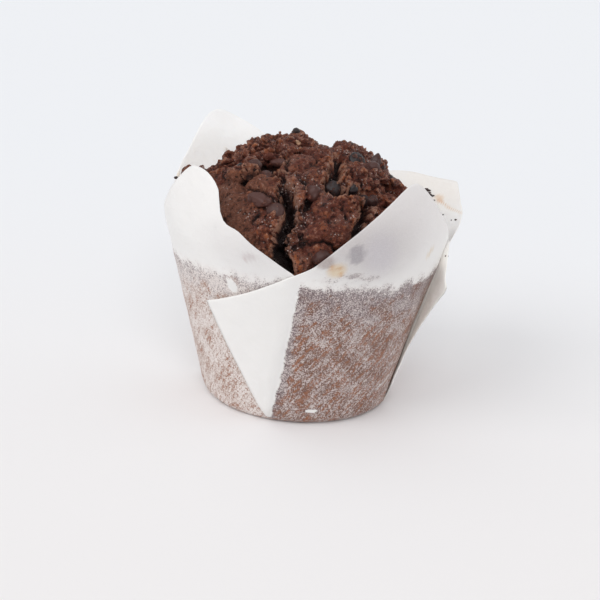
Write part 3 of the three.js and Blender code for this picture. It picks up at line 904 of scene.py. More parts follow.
@dataclass(frozen=True)
class Cup:
    """The cone that the sheet is pressed into."""

    base_radius: float = BASE_RADIUS
    flare: float = math.radians(14.9)        # of the wall, from upright
    fillet: float = 3.2                      # radius of the bend between base and wall
    edge_rounds: int = 12                    # of the search for the cut edge

    @property
    def reach(self) -> float:
        """Slant distance from the cone's own tip to the base corner."""
        return self.base_radius / math.sin(self.flare)

    @property
    def tangent(self) -> float:
        """Length of sheet on each side of the base corner that the fillet takes."""
        return self.fillet * math.tan((math.pi / 2 - self.flare) / 2)

    def profile(self, slant: Array) -> tuple[Array, Array, Array, Array]:
        """The cup's outline.

        Args:
            slant: Distance up the wall from the base corner, negative on the base.

        Returns:
            Radius, height, and the outward normal's radial and vertical parts.
        """
        s = np.asarray(slant, float)
        t, span = self.tangent, math.pi / 2 - self.flare
        turn = np.clip((s + t) / (2 * t), 0, 1) * span
        past = np.maximum(s - t, 0.0)
        corner = self.base_radius - t
        r = corner + np.minimum(s + t, 0.0) + self.fillet * np.sin(turn)
        z = self.fillet * (1 - np.cos(turn))
        return (r + past * math.sin(self.flare), z + past * math.cos(self.flare),
                np.sin(turn), -np.cos(turn))

    def radius_at(self, z: Array) -> Array:
        """The wall's outer radius at a height."""
        return self.base_radius + z * math.tan(self.flare)

    def fold(self, root: float, slope: float, slant: Array) -> Array:
        """Azimuth of a straight fold on the sheet that starts at the root."""
        s = np.maximum(slant, 0.0)
        return root + np.degrees(np.arctan(slope * s / (self.reach + s))) / math.sin(self.flare)

    def edge(self, petal: Petal, azimuth: Array) -> Array:
        """Slant height of a petal's straight cut edge.

        Args:
            petal: The petal.
            azimuth: Degrees.

        Returns:
            Millimetres from the base corner, one number an azimuth.
        """
        psi = np.radians(azimuth - petal.axis) * math.sin(self.flare)
        top = self.reach + petal.corner
        reach = np.full_like(psi, 0.85 * top)
        for _ in range(self.edge_rounds):
            side = reach * np.sin(psi)
            across = np.hypot(side, petal.rounding)
            miss = reach * np.cos(psi) + petal.slope * across - top
            reach = reach - miss / (np.cos(psi) + petal.slope * side * np.sin(psi) / across)
        return reach - self.reach + petal.shoulder.swell(azimuth - petal.axis)

    def curl(self, points: Array, petal: Petal) -> Array:
        """Bend points of the sheet round a petal's curl.

        Args:
            points: Points on the straight cone.
            petal: The petal they belong to.

        Returns:
            The bent points.
        """
        bend = petal.curl
        a = math.radians(petal.axis + bend.at)
        r, z, nr, nz = (float(v) for v in self.profile(bend.start))
        origin = np.array([r * math.cos(a), r * math.sin(a), z])
        out = np.array([nr * math.cos(a), nr * math.sin(a), nz])
        up = np.array([math.sin(self.flare) * math.cos(a), math.sin(self.flare) * math.sin(a),
                       math.cos(self.flare)])
        level = np.array([-math.sin(a), math.cos(a), 0.0])
        skew = math.radians(bend.skew)
        along = up * math.cos(skew) + level * math.sin(skew)
        axle = np.cross(out, along)
        out = out * bend.side
        rel = points - origin
        past, height, aside = rel @ along, rel @ out, rel @ axle
        turn = np.clip(past / bend.radius, 0.0, math.radians(bend.angle))
        rest = np.maximum(past, 0.0) - bend.radius * turn
        arm = bend.radius - height
        bent = (origin + axle * aside[..., None]
                + out * (bend.radius - arm * np.cos(turn) + rest * np.sin(turn))[..., None]
                + along * (arm * np.sin(turn) + rest * np.cos(turn))[..., None])
        return np.where((past > 0)[..., None], bent, points)


@dataclass
class PaperCase:
    """The folded sheet, one closed loop of petals and pleat layers."""

    cup: Cup = field(default_factory=Cup)
    petals: tuple[Petal, ...] = PETALS
    noise: Noise = field(default_factory=lambda: Noise(5))
    thickness: float = 0.16
    gap: float = 0.35                # between the layers of a pleat
    seat: float = -0.12              # from the cup's outline outwards to the sheet's middle
    spring: float = 1.3              # how late a layer leaves the wall on its way to a free fold
    sag: float = 1.6                 # of a pleat's cut edge between its folds
    columns: int = 84
    pleat_columns: int = 26
    base_rows: int = 12
    foot_rows: int = 6
    wall_rows: int = 98
    table_start: float = -160.0      # azimuth where the next two tables start their round
    # the stain's top line, as azimuths and heights, and how dark it is, as azimuths and shares
    soak_line: tuple = ((-155, 44.0), (-130, 46.0), (-112, 46.7), (-83, 46.5), (-57, 44.5),
                        (-34, 43.7), (20, 45.0), (80, 43.5), (140, 46.0), (205, 44.0))
    strengths: tuple = ((-160, 0.3), (-112, 0.35), (-100, 1.0), (-20, 1.0), (60, 0.8),
                        (120, 0.5), (200, 0.3))
    rounds: int = 20                 # of the search for where a fold meets the cut edge
    mean_radius: float = 36.0        # of the cup, on which the streaks are laid out
    petal_step: float = 50.0         # keeps the streaks of two petals apart
    layer_step: float = 9.0          # and those of two layers

    def _slants(self, top: Array) -> Array:
        """Slant heights, one row a level and one column a place along the edge.

        Args:
            top: Slant height of the cut edge at each place.

        Returns:
            One row a level.
        """
        base = np.linspace(0.6 - self.cup.base_radius, -self.cup.tangent, self.base_rows)
        foot = np.linspace(-self.cup.tangent, self.cup.tangent, self.foot_rows)[1:]
        levels = np.concatenate([base, foot])
        wall = np.linspace(0, 1, self.wall_rows)[1:, None]
        low = np.broadcast_to(levels[:, None], (len(levels), len(top)))
        return np.concatenate([low, mix(self.cup.tangent, top[None, :], wall)])

    def _petal_patch(self, k: Corner) -> dict[str, Array]:
        """Columns of a petal, from the hidden fold on one side to its own free fold.

        Args:
            k: The petal.

        Returns:
            The points and what is known of each, by name.
        """
        petal = self.petals[k]
        before = self.petals[k - 1].pleat
        wrap = 360.0 if k == Corner.RIGHT_FRONT else 0.0
        across = np.linspace(0, 1, self.columns)
        top = np.full(self.columns, 50.0)
        for _ in range(self.rounds):
            slant = self._slants(top)
            start = self.cup.fold(before.root + wrap, before.hidden, slant)
            end = self.cup.fold(petal.pleat.root, -petal.pleat.free, slant)
            azimuth = mix(start, end, across)
            top = mix(top, self.cup.edge(petal, azimuth[-1]), 0.7)
        under = self.cup.fold(petal.pleat.root, petal.pleat.hidden, slant)
        over = smooth(under + 4 - azimuth, 0, 8)
        share = np.clip((under - azimuth) / np.maximum(under - end, 1e-3), 0, 1)
        gap = self.gap * smooth(slant, 0, 6)
        offset = self._folded(2 * gap * over, 0.5 * gap, 1.5 * gap)
        lift = petal.pleat.stand(slant) * share ** self.spring
        place = self._place(azimuth, slant, offset, lift)
        width = np.radians(1.0) * (self.cup.base_radius + np.maximum(slant, 0) * WIDENING)
        return {"at": self.cup.curl(place, petal), "azimuth": azimuth, "slant": slant,
                "ahead": (azimuth - under) * width, "behind": (start - azimuth) * width,
                "petal": np.full_like(slant, k), "layer": np.full_like(slant, Layer.PETAL)}

    def _pleat_patch(self, k: Corner) -> dict[str, Array]:
        """Columns of a pleat's middle layer, from the free fold back to the hidden fold.

        Args:
            k: The petal that laps over it.

        Returns:
            The points and what is known of each, by name.
        """
        petal, after = self.petals[k], self.petals[(k + 1) % len(self.petals)]
        wrap = 360.0 if k == Corner.RIGHT_BACK else 0.0
        pleat = petal.pleat
        across = np.linspace(0, 1, self.pleat_columns)
        first = last = np.array([40.0])
        for _ in range(self.rounds):
            first = self.cup.edge(petal, self.cup.fold(pleat.root, -pleat.free, first))
            last = self.cup.edge(after, self.cup.fold(pleat.root + wrap, pleat.hidden, last))
        slant = self._slants(mix(first, last, across) - self.sag * np.sin(np.pi * across))
        azimuth = mix(self.cup.fold(pleat.root, -pleat.free, slant),
                      self.cup.fold(pleat.root, pleat.hidden, slant), across)
        gap = self.gap * smooth(slant, 0, 6)
        offset = self._folded(gap, 1.5 * gap, 0.5 * gap)
        lift = pleat.stand(slant) * (1 - across) ** self.spring
        place = self._place(azimuth, slant, offset, lift)
        bent = mix(self.cup.curl(place, petal), self.cup.curl(place, after), across[:, None])
        # it lies past the stain, and nowhere near the dent beside the sprung pleat
        return {"at": bent, "azimuth": azimuth, "slant": slant,
                "ahead": np.full_like(slant, -9.0), "behind": np.full_like(slant, 99.0),
                "petal": np.full_like(slant, k), "layer": np.full_like(slant, Layer.MIDDLE)}

    @staticmethod
    def _folded(between: Array, first: Array, last: Array) -> Array:
        """Join a layer's distance from the wall with that of the folds at its two sides."""
        return np.concatenate([first[:, :1], between[:, 1:-1], last[:, -1:]], axis=1)

    def _place(self, azimuth: Array, slant: Array, offset: Array, lift: Array) -> Array:
        """Points on the cone, shifted off it.

        Args:
            azimuth: Degrees.
            slant: Distance up the wall.
            offset: Distance from the wall, square to it.
            lift: Distance from the wall, level.

        Returns:
            One point each.
        """
        r, z, nr, nz = self.cup.profile(slant)
        off = offset + self.seat
        return polar(azimuth, r + off * nr + lift, z + off * nz)

    def loop(self) -> dict[str, Array]:
        """The whole sheet as one grid whose last column runs on into its first.

        Returns:
            The points and what is known of each, by name.
        """
        parts = []
        for k in Corner:
            parts.append(self._petal_patch(k))
            middle = self._pleat_patch(k)
            parts.append({key: value[:, 1:-1] for key, value in middle.items()})
        return {key: np.concatenate([p[key] for p in parts], axis=1) for key in parts[0]}

    def _crumple(self, grid: dict[str, Array]) -> Array:
        """How far each point leaves the ideal surface, along its normal.

        Args:
            grid: The sheet.

        Returns:
            Millimetres outwards, one number a point.
        """
        at, slant, azimuth = grid["at"], grid["slant"], grid["azimuth"]
        free = smooth(slant, 30, 60)
        swell = self.noise.value(at / 15.0) * mix(0.15, 0.7, free)
        swell += self.noise.value(at / 6.0 + 9.0) * mix(0.15, 0.2, free)
        swell += self.noise.value(at / 2.8 + 4.0) * 0.035
        gather = self.noise.value(np.stack([azimuth / 3.3, slant / 60, 0 * slant], -1))
        swell += gather * 0.22 * smooth(slant, 1, 5) * (1 - smooth(slant, 8, 26))
        return swell * smooth(slant, 0, 6) - 0.7 * self._facet(grid)

    def _around(self, grid: dict[str, Array], table: tuple) -> Array:
        """What a table of azimuths and values holds at each point of the sheet."""
        turned = (grid["azimuth"] - self.table_start) % 360.0 + self.table_start
        return np.interp(turned, *zip(*table))

    def _soak(self, grid: dict[str, Array]) -> Array:
        """Millimetres inside the zone where the cake has stained the sheet.

        Args:
            grid: The sheet.

        Returns:
            One number a point, below zero where the paper is clean.
        """
        height = self._around(grid, self.soak_line)
        slant = grid["slant"]
        # where a petal laps over its pleat it lies clear of the cake and stays clean
        lapped = grid["ahead"] - 1.3 * np.sqrt(np.clip(slant, 0, 50) / 30)
        soak = np.minimum(height - grid["at"][..., 2], np.where(slant > 1, 4.5 * lapped, 20.0))
        for patch in PATCHES:
            soak += patch.soak * patch.cover(grid)
        return soak

    def _tints(self, grid: dict[str, Array]) -> tuple[Array, Array]:
        """Colour and strength of the marks and the painted shade at each point of the sheet.

        Args:
            grid: The sheet.

        Returns:
            One colour a point, and 0 to 1 a point.
        """
        colour = np.full(grid["at"].shape, 0.6)
        share = np.zeros(grid["slant"].shape)
        for mark in MARKS_AND_SHADE:
            cover = mark.cover(grid) * mark.share
            colour = mix(colour, np.array(mark.colour[:3]), (cover / np.maximum(
                cover + share * (1 - cover), 1e-6))[..., None])
            share = cover + share * (1 - cover)
        return colour, share

    def _facet(self, grid: dict[str, Array]) -> Array:
        """How far the sheet is dented beside the sprung pleat.

        Args:
            grid: The sheet.

        Returns:
            0 to 1 a point.
        """
        beside = (grid["petal"] == Corner.RIGHT_FRONT) & (grid["layer"] == Layer.PETAL)
        along = smooth(grid["slant"], 1, 12) * (1 - smooth(grid["slant"], 36, 44))
        return np.where(beside, (1 - smooth(grid["behind"], 0.5, 3.6)) * along, 0.0)

    def _glow(self, grid: dict[str, Array]) -> Array:
        """Daylight that comes through paper with nothing dark behind it, as emitted light.

        Args:
            grid: The sheet.

        Returns:
            The emission's strength, one number a point.
        """
        x, y, z = np.moveaxis(grid["at"], -1, 0)
        # the tips of the left and back petals, and the flap that stands off on the right
        petal = smooth(y, 4, 14) * smooth(-x, -6, 8) * mix(0.13, 0.04, smooth(z, 56, 76))
        pleat = smooth(grid["ahead"], -0.5, 0.5) + (grid["layer"] == Layer.MIDDLE)
        high = smooth(z, 8, 20) * (1 - smooth(z, 47, 50))
        flap = (grid["petal"] == Corner.RIGHT_BACK) * np.minimum(pleat, 1.0) * high * 0.1
        return np.maximum(petal, flap)

    def _sheet_place(self, grid: dict[str, Array]) -> Array:
        """Where each point lies on the flat sheet.

        Args:
            grid: The sheet.

        Returns:
            Three numbers a point: round the cup, up the wall, and one for its petal and layer.
        """
        around = np.radians(grid["azimuth"]) * self.mean_radius
        apart = self.petal_step * grid["petal"] + self.layer_step * grid["layer"]
        return np.stack([around, grid["slant"], apart], -1)

    def _skin(self, grid: dict[str, Array]) -> tuple[Array, list]:
        """Both faces of the sheet, joined round its rim and round the middle of its base.

        Args:
            grid: The sheet.

        Returns:
            The vertices, the outer face's before the inner one's, and the faces.
        """
        at = grid["at"]
        rows, width = at.shape[:2]
        quads = loop_quads(rows, width)
        normals = point_normals(at.reshape(-1, 3), quads).reshape(at.shape)
        _, _, nr, nz = self.cup.profile(grid["slant"])
        ideal = polar(grid["azimuth"], nr, nz)
        facing = np.where(grid["layer"] == Layer.MIDDLE, -1.0, 1.0)[..., None]
        normals *= np.sign(np.sum(normals * ideal, -1)[..., None] * facing + 1e-9)
        normals = np.where((grid["slant"] < 2.0)[..., None], ideal, normals)
        at = at + ideal * self._crumple(grid)[..., None]
        half = normals * self.thickness / 2
        skin = np.concatenate([(at + half).reshape(-1, 3), (at - half).reshape(-1, 3)])
        column, total = np.arange(width), rows * width
        rim = total - width + column
        after = np.roll(rim, -1)
        edge = np.stack([rim, after, after + total, rim + total], -1)
        faces = quads.tolist() + (quads[:, ::-1] + total).tolist() + edge.tolist()
        return skin, faces + [column[::-1].tolist(), (column + total).tolist()]

    def build(self, material: bpy.types.Material) -> bpy.types.Object:
        """Make the case.

        Args:
            material: The paper.

        Returns:
            The object.
        """
        grid = self.loop()
        skin, faces = self._skin(grid)
        tint, tinted = self._tints(grid)
        values = {"soak": self._soak(grid), "strength": self._around(grid, self.strengths),
                  "shade": self._facet(grid), "tinted": tinted, "glow": self._glow(grid)}
        fields = {key: np.tile(value.ravel(), 2) for key, value in values.items()}
        for key, value in (("tint", tint), ("sheet", self._sheet_place(grid))):
            fields[key] = np.tile(value.reshape(-1, 3), (2, 1))
        obj = make_object("paper_sheet", skin, faces, material, fields)
        work = bmesh.new()
        work.from_mesh(obj.data)
        bmesh.ops.remove_doubles(work, verts=work.verts, dist=0.01 * MM)
        bmesh.ops.recalc_face_normals(work, faces=work.faces)
        work.to_mesh(obj.data)
        work.free()
        return obj


# ---------------------------------------------------------------- cake
class Crust(Enum):
    """How a lobe's skin broke while it baked: how crumbly it is, and how wet."""

    SMOOTH = (0.0, 0.15)
    MIXED = (0.35, 0.3)
    ROUGH = (0.8, 0.2)
    WET = (0.8, 1.0)


@dataclass(frozen=True)
class Lobe:
    """A swelling of the crust: place on the dome, half width, and how far it stands up."""

    azimuth: float
    distance: float          # from the dome's axis
    size: float
    rise: float = 1.0
    crust: Crust = Crust.ROUGH


LOBES = (
    # smooth shelf on the left
    Lobe(-138, 27.4, 3.6, 0.3, Crust.SMOOTH), Lobe(-129, 30.8, 4.2, 0.5, Crust.SMOOTH),
    Lobe(-119, 33.7, 4.6, 0.6, Crust.SMOOTH), Lobe(-113, 34.9, 3.6, 0.4, Crust.SMOOTH),
    Lobe(-119, 23.0, 4.8, 0.9, Crust.SMOOTH), Lobe(-107, 36.4, 3.2, 0.3, Crust.SMOOTH),
    Lobe(-144, 31.5, 4.0, 0.0, Crust.SMOOTH), Lobe(-133, 35.0, 4.0, 0.2, Crust.SMOOTH),
    # lobes on the left of the main crack
    Lobe(-116, 28.1, 4.9, 1.2, Crust.MIXED), Lobe(-102, 29.9, 3.4, 0.9),
    Lobe(-106, 33.7, 4.4, 1.4), Lobe(-101.5, 34.2, 2.6, 1.0),
    # lobes on the right of the main crack
    Lobe(-72, 26.6, 4.2, 1.3, Crust.MIXED), Lobe(-62, 26.2, 3.8, 1.5), Lobe(-65, 29.6, 4.0, 1.2),
    Lobe(-81, 33.1, 3.9, 1.6, Crust.SMOOTH),
    Lobe(-70, 32.9, 4.3, 1.5, Crust.SMOOTH), Lobe(-80, 35.5, 3.4, 0.8, Crust.SMOOTH),
    Lobe(-60, 31.0, 3.4, 1.0, Crust.MIXED), Lobe(-77, 29.1, 3.9, 1.2, Crust.MIXED),
    Lobe(-88, 30.7, 2.9, -0.4, Crust.WET), Lobe(-91, 33.8, 3.0, -0.2, Crust.WET),
    Lobe(-93.5, 35.7, 2.2, -0.4, Crust.WET), Lobe(-88.5, 37.2, 3.6, 0.8, Crust.SMOOTH),
    # the crown
    Lobe(-95, 12.0, 5.3, 1.8, Crust.SMOOTH), Lobe(-45, 7.3, 4.4, 2.2, Crust.MIXED),
    Lobe(-79, 18.1, 3.9, 1.8, Crust.MIXED), Lobe(105, 6.3, 4.4, 2.4), Lobe(-64, 14.5, 2.9, 1.8),
    Lobe(-96, 20.5, 2.9, 0.6, Crust.WET), Lobe(-144, 5.6, 3.4, 1.5), Lobe(102, 13.0, 3.1, 2.4),
    # the right side
    Lobe(-46, 15.5, 2.9, 0.8), Lobe(-34, 21.2, 4.9, 1.4), Lobe(42, 16.3, 3.9, 1.6),
    Lobe(27, 21.3, 3.4, 1.1), Lobe(-13, 22.8, 2.9, 0.5), Lobe(-11, 27.1, 3.4, 0.5),
    Lobe(-51, 23.4, 2.9, 0.2), Lobe(-47, 29.7, 3.2, 0.6), Lobe(-31, 27.9, 3.4, 0.3),
    # the upper left, and the ledge behind it
    Lobe(153, 19.1, 2.9, 0.9), Lobe(-172, 12.6, 3.4, 0.8), Lobe(174, 19.7, 2.7, 0.6),
    Lobe(168, 9.1, 3.4, 0.7), Lobe(-137, 11.6, 2.4, 0.6), Lobe(-144, 20.3, 2.9, 0.6),
    Lobe(-110, 18.1, 2.9, 0.7), Lobe(-176, 26.2, 2.4, 0.6),
    Lobe(-155, 24.2, 2.9, 0.6), Lobe(-150, 26.6, 2.4, 0.5),
    Lobe(118, 12.9, 2.9, 0.6), Lobe(60, 21.7, 3.0, 1.2), Lobe(135, 25.6, 3.2, 1.3),
    Lobe(163, 33.4, 2.6, 1.4), Lobe(-179, 30.5, 2.6, 4.0), Lobe(-176, 28.6, 2.4, 2.4),
    Lobe(128, 23.5, 3.0, 2.5), Lobe(33, 13.6, 3.2, 2.8), Lobe(-177, 27.0, 2.2, 1.4),
)


@dataclass(frozen=True)
class Crack:
    """A split in the crust: places on the dome along it, half width and depth."""

    line: tuple[tuple[float, float], ...]
    half: float
    depth: float


CRACKS = (
    Crack(((-103, 22.8), (-97, 25.7), (-96, 29.6), (-95, 31.6), (-98, 34.1), (-99, 35.8),
           (-96, 36.9), (-93, 37.6)), 1.3, 8.5),
    Crack(((-31, 11.4), (-45, 13), (-56, 16.8), (-70, 21.2), (-69, 23.9), (-60, 24.5), (-51, 25.6),
           (-50, 28), (-55, 31.2), (-62, 34)), 1.4, 4.6),
    Crack(((-132, 22.8), (-122, 17.2), (-108, 19.6), (-103, 22.3)), 0.8, 2.4),
    Crack(((-125, 26.2), (-107, 25.8), (-99, 26.8)), 0.7, 1.2),
    Crack(((-105, 16.9), (-113, 11.2), (-150, 9)), 0.7, 1.3),
    Crack(((-87, 34.7), (-77, 34.9), (-71, 35.8)), 0.5, 1.1),
)


@dataclass(frozen=True)
class Dome:
    """The smooth dome under the crust, centred a little left of the case's axis."""

    shift: float = -2.1      # of its axis along x
    rim: float = 44.5        # height of its foot
    radius: float = 38.0
    height: float = 28.5     # from its foot
    power: float = 2.15      # how square its shoulders are, from 2 for a round one
    # places where it has sunk: x, y, width and depth
    hollows: tuple = ((-23.0, 3.5, 7.0, 3.4), (-26.0, 17.0, 10.0, 4.6), (-11.0, 9.0, 6.0, 1.4),
                      (27.0, 12.0, 11.0, 1.7), (7.0, 12.0, 5.0, 4.4), (8.5, 20.5, 6.0, 3.0),
                      (28.0, 12.0, 5.5, 2.8), (31.0, 3.0, 6.0, 1.7))

    def at(self, azimuth: Array, distance: Array) -> Array:
        """Points of the dome above azimuths and distances from its axis.

        Args:
            azimuth: Degrees.
            distance: Millimetres from its axis.

        Returns:
            One point each.
        """
        share = np.minimum(np.asarray(distance, float) / self.radius, 1.0)
        z = self.rim + self.height * (1 - share ** self.power) ** (1 / self.power)
        place = polar(azimuth, distance, z)
        place[..., 2] -= self.sag(place)
        return place + np.array([self.shift, 0, 0])

    def sag(self, rel: Array) -> Array:
        """How far the dome has sunk.

        Args:
            rel: Points, as seen from the dome's axis.

        Returns:
            One number a point.
        """
        total = np.zeros(rel.shape[:-1])
        for x, y, width, depth in self.hollows:
            away = ((rel[..., 0] - x) ** 2 + (rel[..., 1] - y) ** 2) / width ** 2
            total += depth * np.exp(-away)
        return total

    def normal(self, points: Array) -> Array:
        """The dome's outward normals.

        Args:
            points: Points near the dome, or one point.

        Returns:
            One unit vector a point.
        """
        rel = points - np.array([self.shift, 0, self.rim])
        rho = np.maximum(np.hypot(rel[..., 0], rel[..., 1]), 1e-6)
        side = (rho / self.radius) ** (self.power - 1) / self.radius
        up = (np.maximum(rel[..., 2], 0) / self.height) ** (self.power - 1) / self.height
        return unit(np.stack([rel[..., 0] / rho * side, rel[..., 1] / rho * side, up + 1e-6], -1))

    def level(self, points: Array) -> Array:
        """Millimetres above the dome, roughly.

        Args:
            points: Points near the dome.

        Returns:
            One number a point.
        """
        rel = points - np.array([self.shift, 0, self.rim])
        rho = np.hypot(rel[..., 0], rel[..., 1]) / self.radius
        up = np.maximum(rel[..., 2] + self.sag(rel), 0) / self.height
        size = (rho ** self.power + up ** self.power) ** (1 / self.power)
        return (size - 1) * np.linalg.norm(rel, axis=-1) / np.maximum(size, 1e-6)


@dataclass
class Cake:
    """The cake: a smooth body in the case and a craggy top of merged lumps."""

    cup: Cup = field(default_factory=Cup)
    dome: Dome = field(default_factory=Dome)
    noise: Noise = field(default_factory=lambda: Noise(23))
    floor_depth: float = 3.4         # of the core, under the dome
    core_columns: int = 160
    core_rows: int = 60
    core_inset: float = 1.6          # of its foot, from the wall
    voxel: float = 0.45              # fineness at which the lumps melt together
    skirt: float = 38.5              # height where the lumps end and the body starts
    wall_gap: float = 0.55           # between the lumps and the wall
    held_height: float = 49.0        # above it, lumps are held to the wall's width there
    free_height: float = 60.0        # and from here on they are free
    body_inset: float = 1.3          # of the body, from the wall
    body_levels: tuple = (28.0, 15.0, 5.0)
    foot: tuple = ((1.2, 2.0), (3.4, 0.7))      # insets from the base's radius, with heights
    reach: float = 37.0              # how far from the dome's axis lumps lie
    spacing: float = 4.9             # between the middles of scattered lobes
    lobe_tries: int = 2500
    crumbs: int = 320
    seed: int = 11
    crumb_seed: int = 41

    def _lump(self, heap: Heap, centre: Array, radii: Array, turn: float, fineness: int,
              rough: float, seed: float) -> None:
        """Add one rough ball to a heap.

        Args:
            heap: The heap.
            centre: Its middle.
            radii: Its half lengths along the slope, across it and through it.
            turn: Its turn about the dome's normal, in radians.
            fineness: Its ball's fineness.
            rough: How uneven it is.
            seed: Picks its unevenness.
        """
        ball, faces = Ball.get(fineness)
        basis = basis_on(self.dome.normal(centre), [math.cos(turn), math.sin(turn), 0.3])
        swell = 1 + rough * self.noise.fractal(ball * 1.3 + seed, 2)
        heap.add(centre + (ball * radii * swell[:, None]) @ basis, faces)

    def _floor(self, heap: Heap) -> None:
        """Add the smooth core under the lumps to a heap.

        Args:
            heap: The heap.
        """
        ring = self.core_columns
        tilt = np.linspace(0.02, 1, self.core_rows) * math.pi / 2
        share = np.sin(tilt) ** (2 / self.dome.power)
        lift = np.cos(tilt) ** (2 / self.dome.power)
        radius = (self.dome.radius - self.floor_depth) * share
        z = self.dome.rim + (self.dome.height - self.floor_depth) * lift
        radius = np.append(radius, self.cup.radius_at(self.skirt) - self.core_inset)
        z = np.append(z, self.skirt)
        turn = np.arange(ring) * 360 / ring
        grid = polar(turn[None, :], radius[:, None], z[:, None])
        grid[:-1, :, 2] -= self.dome.sag(grid[:-1])
        grid[:-1, :, 0] += self.dome.shift
        quads = loop_quads(len(grid), ring)
        near, after, count = quads[:ring, 0], quads[:ring, 1], len(grid) * ring
        caps = [np.stack([0 * near + count, near, after], -1),
                np.stack([0 * near + count + 1, after + count - ring, near + count - ring], -1)]
        tris = np.concatenate([quads[:, [0, 3, 2]], quads[:, [0, 2, 1]], *caps])
        ends = np.array([[self.dome.shift, 0, self.dome.rim + self.dome.height
                          - self.floor_depth], [0, 0, self.skirt]])
        heap.add(np.concatenate([grid.reshape(-1, 3), ends]), tris)

    def _all_lobes(self) -> list[Lobe]:
        """The named lobes, and as many more as the far side needs.

        Returns:
            All lobes, the named ones first.
        """
        draws = Draws(self.seed)
        kinds = (Crust.SMOOTH, Crust.MIXED, Crust.SMOOTH, Crust.ROUGH)
        lobes = list(LOBES)
        spots = [self.dome.at(b.azimuth, b.distance) for b in lobes]
        for _ in range(self.lobe_tries):
            azimuth = draws.between(-20, 205)
            distance = self.reach * math.sqrt(draws.between(0.02, 1))
            place = self.dome.at(azimuth, distance)
            if clearance(place, spots) > self.spacing:
                spots.append(place)
                size = draws.between(3.0, 5.2)
                rise = draws.between(0.2, 0.8 if place[1] < 24 else 1.8)
                lobes.append(Lobe(azimuth, distance, size, rise, kinds[len(lobes) % 4]))
        return lobes

    def _crust_at(self, points: Array, lobes: list[Lobe]) -> Array:
        """How crumbly and how wet the crust is at points, blended between lobes.

        Args:
            points: Points on or near the dome.
            lobes: The lobes.

        Returns:
            Two numbers a point.
        """
        total = np.full((len(points), 2), 1e-4)
        weight = np.full(len(points), 2e-4)
        for lobe in lobes:
            away = np.linalg.norm(points - self.dome.at(lobe.azimuth, lobe.distance), axis=1)
            share = np.exp(-1.6 * (away / lobe.size) ** 2)
            total += share[:, None] * np.array(lobe.crust.value)
            weight += share
        return total / weight[:, None]

    def _lumps(self, lobes: list[Lobe], rng: np.random.Generator) -> Heap:
        """Every lump of the top: the core, the lobes, and crumbs where the crust is torn.

        Args:
            lobes: The lobes.
            rng: Where the draws come from.

        Returns:
            The lumps.
        """
        heap = Heap()
        self._floor(heap)
        for i, lobe in enumerate(lobes):
            place = self.dome.at(lobe.azimuth, lobe.distance)
            normal = self.dome.normal(place)
            radii = lobe.size * np.array([rng.uniform(1.05, 1.3), rng.uniform(0.95, 1.1), 0.85])
            centre = place + normal * (lobe.rise - radii[2])
            rough = 0.1 + 0.1 * lobe.crust.value[0]
            self._lump(heap, centre, radii, rng.uniform(0, 6.3), 4, rough, 7.7 * i)
        azimuth = rng.uniform(-180, 180, 4 * self.crumbs)
        distance = self.reach * np.sqrt(rng.uniform(0, 1, 4 * self.crumbs))
        places = self.dome.at(azimuth, distance)
        keep = rng.uniform(0.25, 1.3, len(places)) < self._crust_at(places, lobes)[:, 0]
        for i, place in enumerate(places[keep][:self.crumbs]):
            size = rng.uniform(0.8, 1.5) + 1.5 * rng.uniform() ** 3
            normal = self.dome.normal(place)
            centre = place + normal * rng.uniform(-0.9, 0.9)
            radii = size * rng.uniform(0.6, 1.35, 3)
            self._lump(heap, centre, radii, rng.uniform(0, 6.3), 3, 0.5, 3.1 * i)
        return heap

    def _merge(self, heap: Heap) -> tuple[Array, Array]:
        """Melt the lumps together.

        Args:
            heap: The lumps.

        Returns:
            The merged skin's vertices, in millimetres, and its quads, open underneath.
        """
        points, faces, _ = heap.joined()
        mesh = bpy.data.meshes.new("lumps")
        mesh.from_pydata(points.tolist(), [], faces.tolist())
        obj = link(bpy.data.objects.new("lumps", mesh))
        remesh = obj.modifiers.new("merge", "REMESH")
        remesh.mode = "VOXEL"
        remesh.voxel_size = self.voxel
        ready = obj.evaluated_get(bpy.context.evaluated_depsgraph_get())
        merged, quads = mesh_arrays(ready.to_mesh())
        quads = quads[np.max(merged[quads][..., 2], axis=1) > self.skirt + 1.2]
        quads = quads[largest_part(len(merged), quads)[quads[:, 0]]]
        used, quads = np.unique(quads, return_inverse=True)
        merged, quads = merged[used], quads.reshape(-1, 4)
        ready.to_mesh_clear()
        bpy.data.objects.remove(obj)
        bpy.data.meshes.remove(mesh)
        return merged, quads

    def _torn(self, points: Array, crumbly: Array) -> Array:
        """How far the crust stands out or in, with seams, pits and holes where it is torn.

        Args:
            points: Points of the merged lumps.
            crumbly: How crumbly the crust is there.

        Returns:
            Millimetres outwards, one number a point.
        """
        coarse = self.noise.fractal(points / 4.2, 2, 0.5) * 0.35
        warp = np.stack([self.noise.value(points / 1.7 + k) for k in (3, 40, 80)], -1)
        warped = points + 0.9 * warp
        torn = sum(share * np.abs(self.noise.value(warped / size + size)) for size, share in (
            (3.4, 1.6), (1.9, -1.1), (1.1, -0.8)))
        first, second = self.noise.cells(warped / 3.4 + 5.0)
        seams = 1 - smooth(second - first, 0.02, 0.26)
        pits = 1 - smooth(self.noise.cells(points / 1.8)[0], 0.12, 0.42)
        hole = 1 - smooth(self.noise.cells(warped / 2.7 + 9.0)[0], 0.16, 0.4)
        move = coarse + mix(0.22, 0.8, crumbly) * (torn + 0.25) - pits * mix(0.3, 0.7, crumbly)
        move = move - seams * mix(0.15, 1.0, crumbly) - hole * mix(0.0, 1.3, crumbly)
        return move * smooth(points[:, 2], self.skirt + 1, self.skirt + 5)

